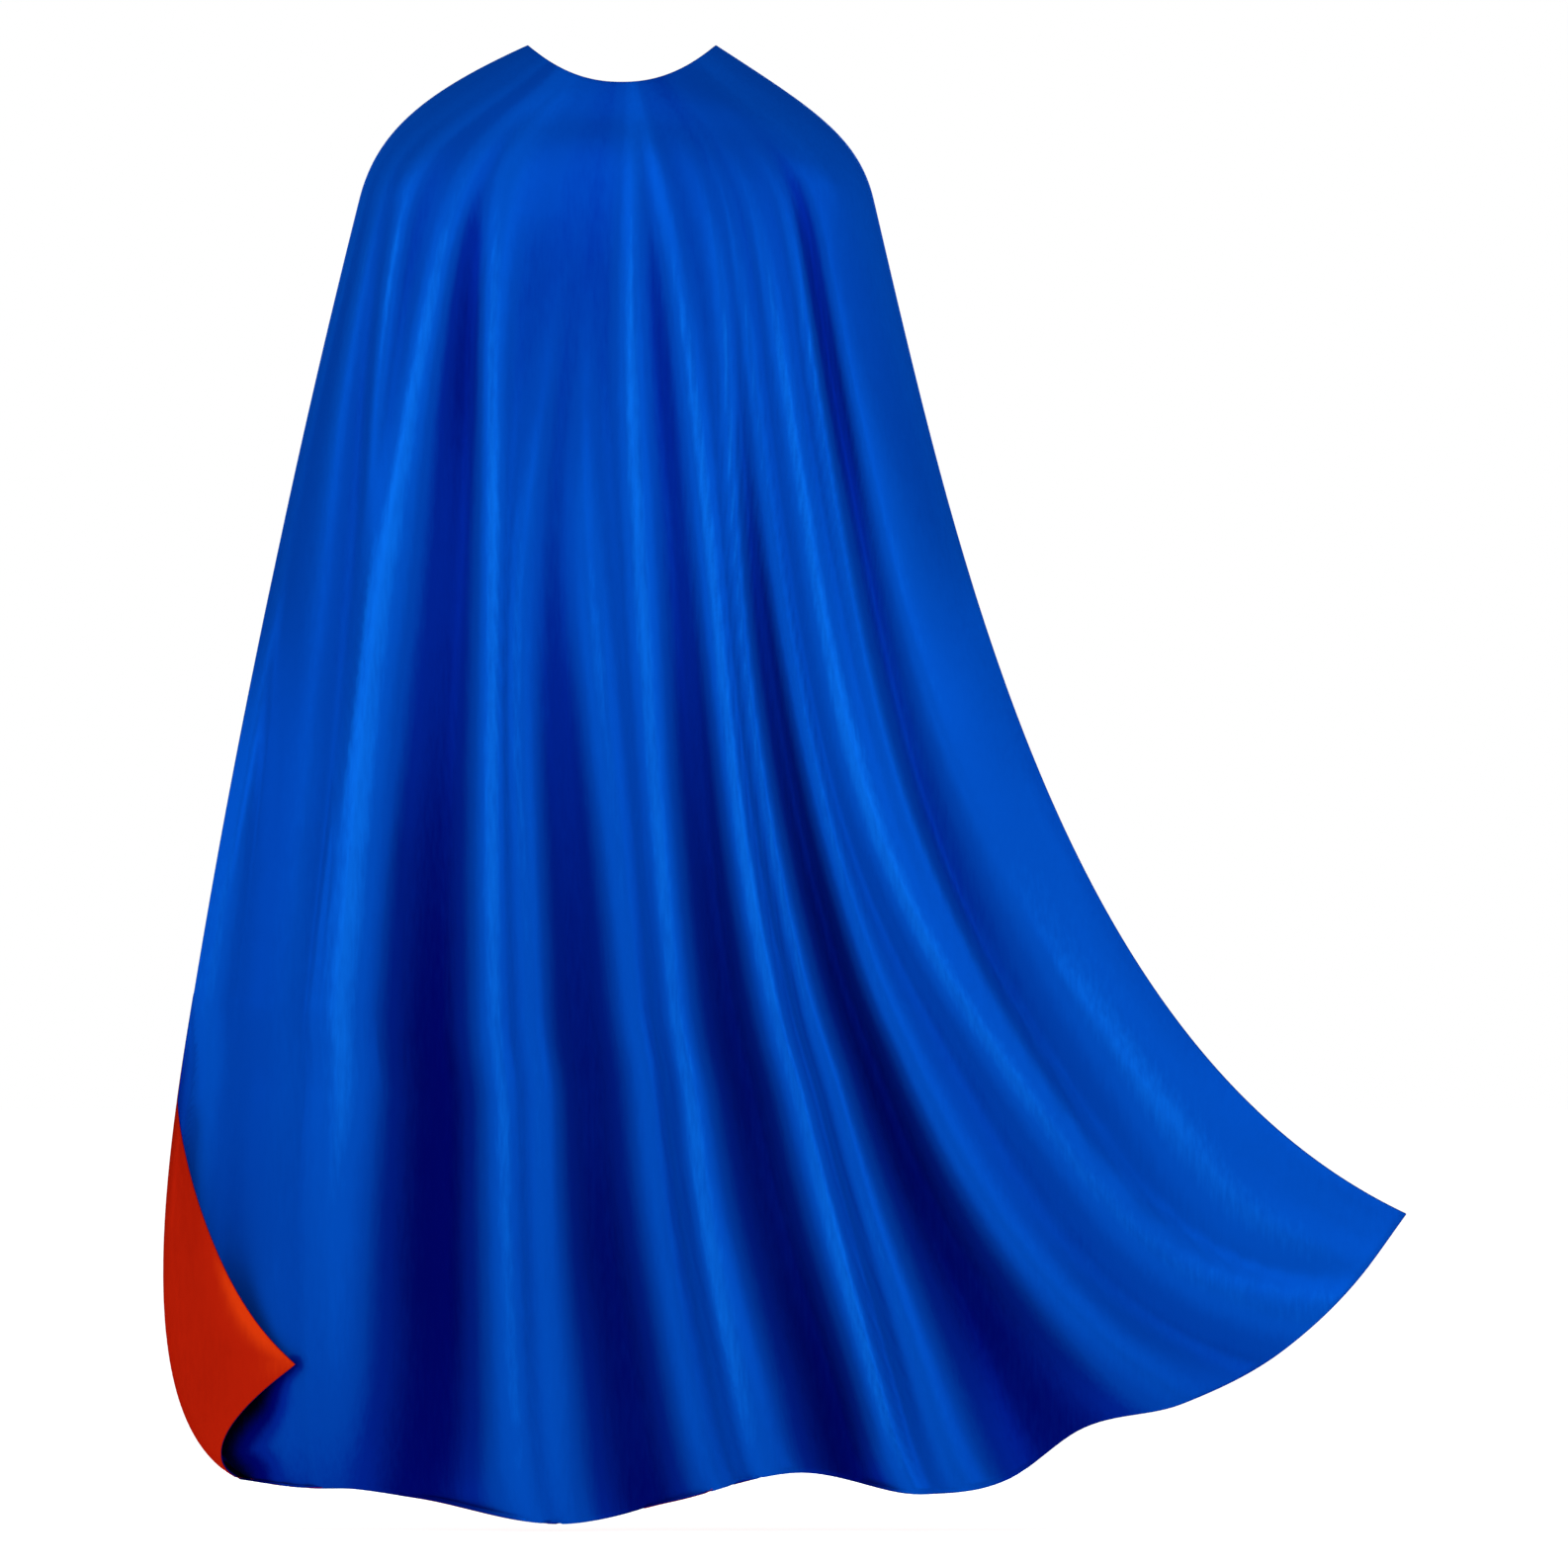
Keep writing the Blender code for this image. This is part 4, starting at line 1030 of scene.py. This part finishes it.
def build_strap(side, sign):
    """A strap of two layers and the stitches that hold it to the cape."""
    rows, columns = STRAP_GRID
    # Painted shade and highlight in a wave along the strap.
    levels = STRAP_LEVEL + STRAP_LEVEL_WAVE * np.sin(np.linspace(0, STRAP_RIPPLES, columns))
    joint = [band_point(sign * angle, 0.5, 0.0) for angle in (STRAP_ROOT, STRAP_BEND_END)]
    body = f"{side}_strap"
    blended_layers(side + "_neck_strap_{}", body, strap_grid(sign), np.tile(levels, (rows, 1)))
    row, column = STRAP_STITCH_ROWS, STRAP_STITCH_COLUMNS[side]
    path = GRID[row, column] + OUTER_RADIUS * NORMALS[row, column]
    thread = stitches(f"{side}_strap_root_stitches", path, NORMALS[row, column], THREAD_RADIUS, THREAD)
    stands_for(thread, "cape", f"{side}_strap_stitch")


def band_patch(angles, arc, margin, corner, rows, offset):
    """A patch of the band with rounded corners. arc is each column's distance from the nearest round end."""
    pull = (margin * STRAP_WIDTH + corner_pull(arc, corner)) / STRAP_WIDTH
    return band_point(angles[None, :], mix(pull, 1 - pull, np.linspace(0, 1, rows)[:, None]), offset)


def pad_backing(low, high):
    """The closed shape of a pad's woven backing, between two offsets from the strap's middle surface."""
    rows, columns = PAD_GRID
    angles = np.linspace(PAD_FAR, PAD_NEAR, columns)
    arc = NECK_HALF_WIDTH * np.minimum(angles - PAD_FAR, PAD_NEAR - angles)
    sides = (band_patch(angles, arc, PAD_MARGIN, PAD_CORNER, rows, offset) for offset in (high, low))
    return solid_from_faces(*sides)


def loop_pad():
    """A woven backing with a pile of small loops that lie in every direction."""
    shapes = [pad_backing(*LOOP_BACKING)]
    draw = np.random.default_rng(LOOP_SEED)
    turn = np.linspace(-LOOP_OVERLAP, math.pi + LOOP_OVERLAP, LOOP_POINTS)
    for _ in range(LOOP_COUNT):
        angle = draw.uniform(PAD_FAR + LOOP_INSET, PAD_NEAR - LOOP_INSET)
        height = draw.uniform(LOOP_MARGIN, 1 - LOOP_MARGIN)
        spot, over = (band_point(angle, height, offset) for offset in (LOOP_BACKING[1], LOOP_BACKING[1] + 1.0))
        up = over - spot
        side = unit(np.cross(up, draw.normal(size=3)))
        width, tall = draw.uniform(*LOOP_WIDTHS), LOOP_HEIGHT * draw.uniform(*LOOP_RISES)
        arch = spot + width * np.cos(turn)[:, None] * side + tall * np.sin(turn)[:, None] * up
        shapes.append(tube(arch, np.full(LOOP_POINTS, LOOP_RADIUS), 3, np.cross(side, up)))
    return mesh_object("loop_tape_pad", *join_shapes(shapes), NYLON)


def hook_pad():
    """A woven backing with rows of small moulded hooks that point at the loops."""
    shapes = [pad_backing(*HOOK_BACKING)]
    profile = np.array(HOOK_PROFILE) * (HOOK_LENGTH, HOOK_HEIGHT)
    angles = np.linspace(PAD_FAR + HOOK_INSET, PAD_NEAR - HOOK_INSET, HOOK_COLUMNS)
    for column, angle in enumerate(angles):
        for height in np.linspace(HOOK_MARGIN, 1 - HOOK_MARGIN, HOOK_ROWS):
            spot, over = (band_point(angle, height, offset) for offset in (HOOK_BACKING[0], HOOK_BACKING[0] - 1.0))
            down = over - spot
            way = 1 if column % 2 else -1
            side = way * unit(band_point(angle + 0.01, height, 0.0) - band_point(angle, height, 0.0))
            line = spot + profile[:, :1] * side + profile[:, 1:] * down
            shapes.append(tube(line, HOOK_RADII, 4, np.cross(side, down)))
    return mesh_object("hook_tape_pad", *join_shapes(shapes), NYLON)


def tab_grid():
    """The closure tab's middle surface: sewn flat on the left strap, then lifted over the pads to a round tip."""
    rows, columns = TAB_GRID
    angles = np.linspace(TAB_TIP, TAB_SEWN, columns)
    offset = mix(TAB_OVER_PADS, TAB_ON_STRAP, ease((angles - TAB_STEP_FROM) / TAB_STEP))
    arc = NECK_HALF_WIDTH * (angles - TAB_TIP)
    return band_patch(angles, arc, TAB_MARGIN, TAB_CORNER, rows, offset[None, :])


def box_path(near, far, margin, offset):
    """A closed path round a patch of the band, with its outward normals."""
    across, along = np.linspace(near, far, 10), np.linspace(margin, 1 - margin, 8)
    places = [(angle, margin) for angle in across] + [(far, height) for height in along[1:]]
    places += [(angle, 1 - margin) for angle in across[::-1][1:]] + [(near, height) for height in along[::-1][1:]]
    angle, height = np.array(places).T
    path = band_point(angle, height, offset)
    return path, band_point(angle, height, offset + 1.0) - path


def build_closure():
    """The tab with its hook pad, and the loop pad on the right strap."""
    joint = [band_point(angle, 0.5, TAB_ON_STRAP) for angle in (TAB_ROOT, TAB_BEND_END)]
    blended_layers("closure_tab_{}_layer", "closure_tab", tab_grid(), np.full(TAB_GRID, TAB_LEVEL))
    stands_for(loop_pad(), "right_strap", "loop_pad")
    stands_for(hook_pad(), "closure_tab", "hook_pad")
    rings = (
        ("hook_pad", "closure_tab", PAD_STITCH, PAD_STITCH_MARGIN, TAB_OVER_PADS + OUTER_RADIUS, 1),
        ("loop_pad", "right_strap", PAD_STITCH, PAD_STITCH_MARGIN, -OUTER_RADIUS, -1),
        ("closure_tab", "left_strap", TAB_STITCH, TAB_STITCH_MARGIN, -OUTER_RADIUS, -1),
    )
    for node, body, (near, far), margin, offset, facing in rings:
        path, normals = box_path(near, far, margin, offset)
        box = stitches(f"{node}_box_stitches", path, facing * normals, THREAD_RADIUS, THREAD)
        stands_for(box, body, f"{node}_stitch")


build_strap("left", -1)
build_strap("right", 1)
build_closure()

# -------- floor, light and camera


def area_light(name, spot, size, power):
    """A soft square light, turned to the middle of the cape."""
    data = bpy.data.lights.new(name, "AREA")
    data.size, data.energy = size, power
    lamp, target = new_object(name, data, spot), new_object(name + "_target", None, CENTRE)
    track = lamp.constraints.new("TRACK_TO")
    track.target, track.track_axis, track.up_axis = target, "TRACK_NEGATIVE_Z", "UP_Y"


def studio():
    """A pale floor just under the hem, a pale surround, and soft lights in front, above and behind."""
    low = CAD_BOX[0][2] - FLOOR_GAP
    bpy.ops.mesh.primitive_circle_add(vertices=96, radius=FLOOR_RADIUS, fill_type="NGON", location=(0, 0, low))
    floor = bpy.context.object
    floor.name = "floor"
    n = Nodes("pale_floor")
    away = n.add("ShaderNodeVectorMath", {0: n.add("ShaderNodeTexCoord").outputs["Object"]}, operation="LENGTH")
    limits = {"From Min": 0.4, "From Max": 2.5, "To Min": 0.76, "To Max": 0.97}
    glow = n.add("ShaderNodeMapRange", {"Value": away.outputs["Value"], **limits}).outputs["Result"]
    n.shade(base_color=(0.4, 0.4, 0.4, 1), roughness=0.9, emission_color=(1, 1, 1, 1), emission_strength=glow)
    floor.data.materials.append(n.material)
    world = bpy.data.worlds.new("pale_studio")
    world.use_nodes = True
    bpy.context.scene.world = world
    tree = world.node_tree
    lit, seen = tree.nodes["Background"], tree.nodes.new("ShaderNodeBackground")
    for background, strength in ((lit, WORLD_LIGHT), (seen, 1.0)):
        background.inputs["Color"].default_value = (1, 1, 1, 1)
        background.inputs["Strength"].default_value = strength
    path, pick = tree.nodes.new("ShaderNodeLightPath"), tree.nodes.new("ShaderNodeMixShader")
    for i, output in enumerate((path.outputs["Is Camera Ray"], lit.outputs[0], seen.outputs[0])):
        tree.links.new(output, pick.inputs[i])
    tree.links.new(pick.outputs[0], tree.nodes["World Output"].inputs["Surface"])
    for light in LIGHTS:
        area_light(*light)


def camera():
    """A long lens straight behind the wearer, level with the middle of the cape."""
    data = bpy.data.cameras.new("camera")
    data.lens, data.sensor_width = LENS, SENSOR_WIDTH
    distance = FRAME_WIDTH * LENS / SENSOR_WIDTH
    view = new_object("camera", data, (CENTRE[0], CENTRE[1] - distance, CENTRE[2]))
    view.rotation_euler = (math.pi / 2, 0, 0)
    bpy.context.scene.camera = view


studio()
camera()
bpy.context.scene.view_settings.view_transform = "Standard"
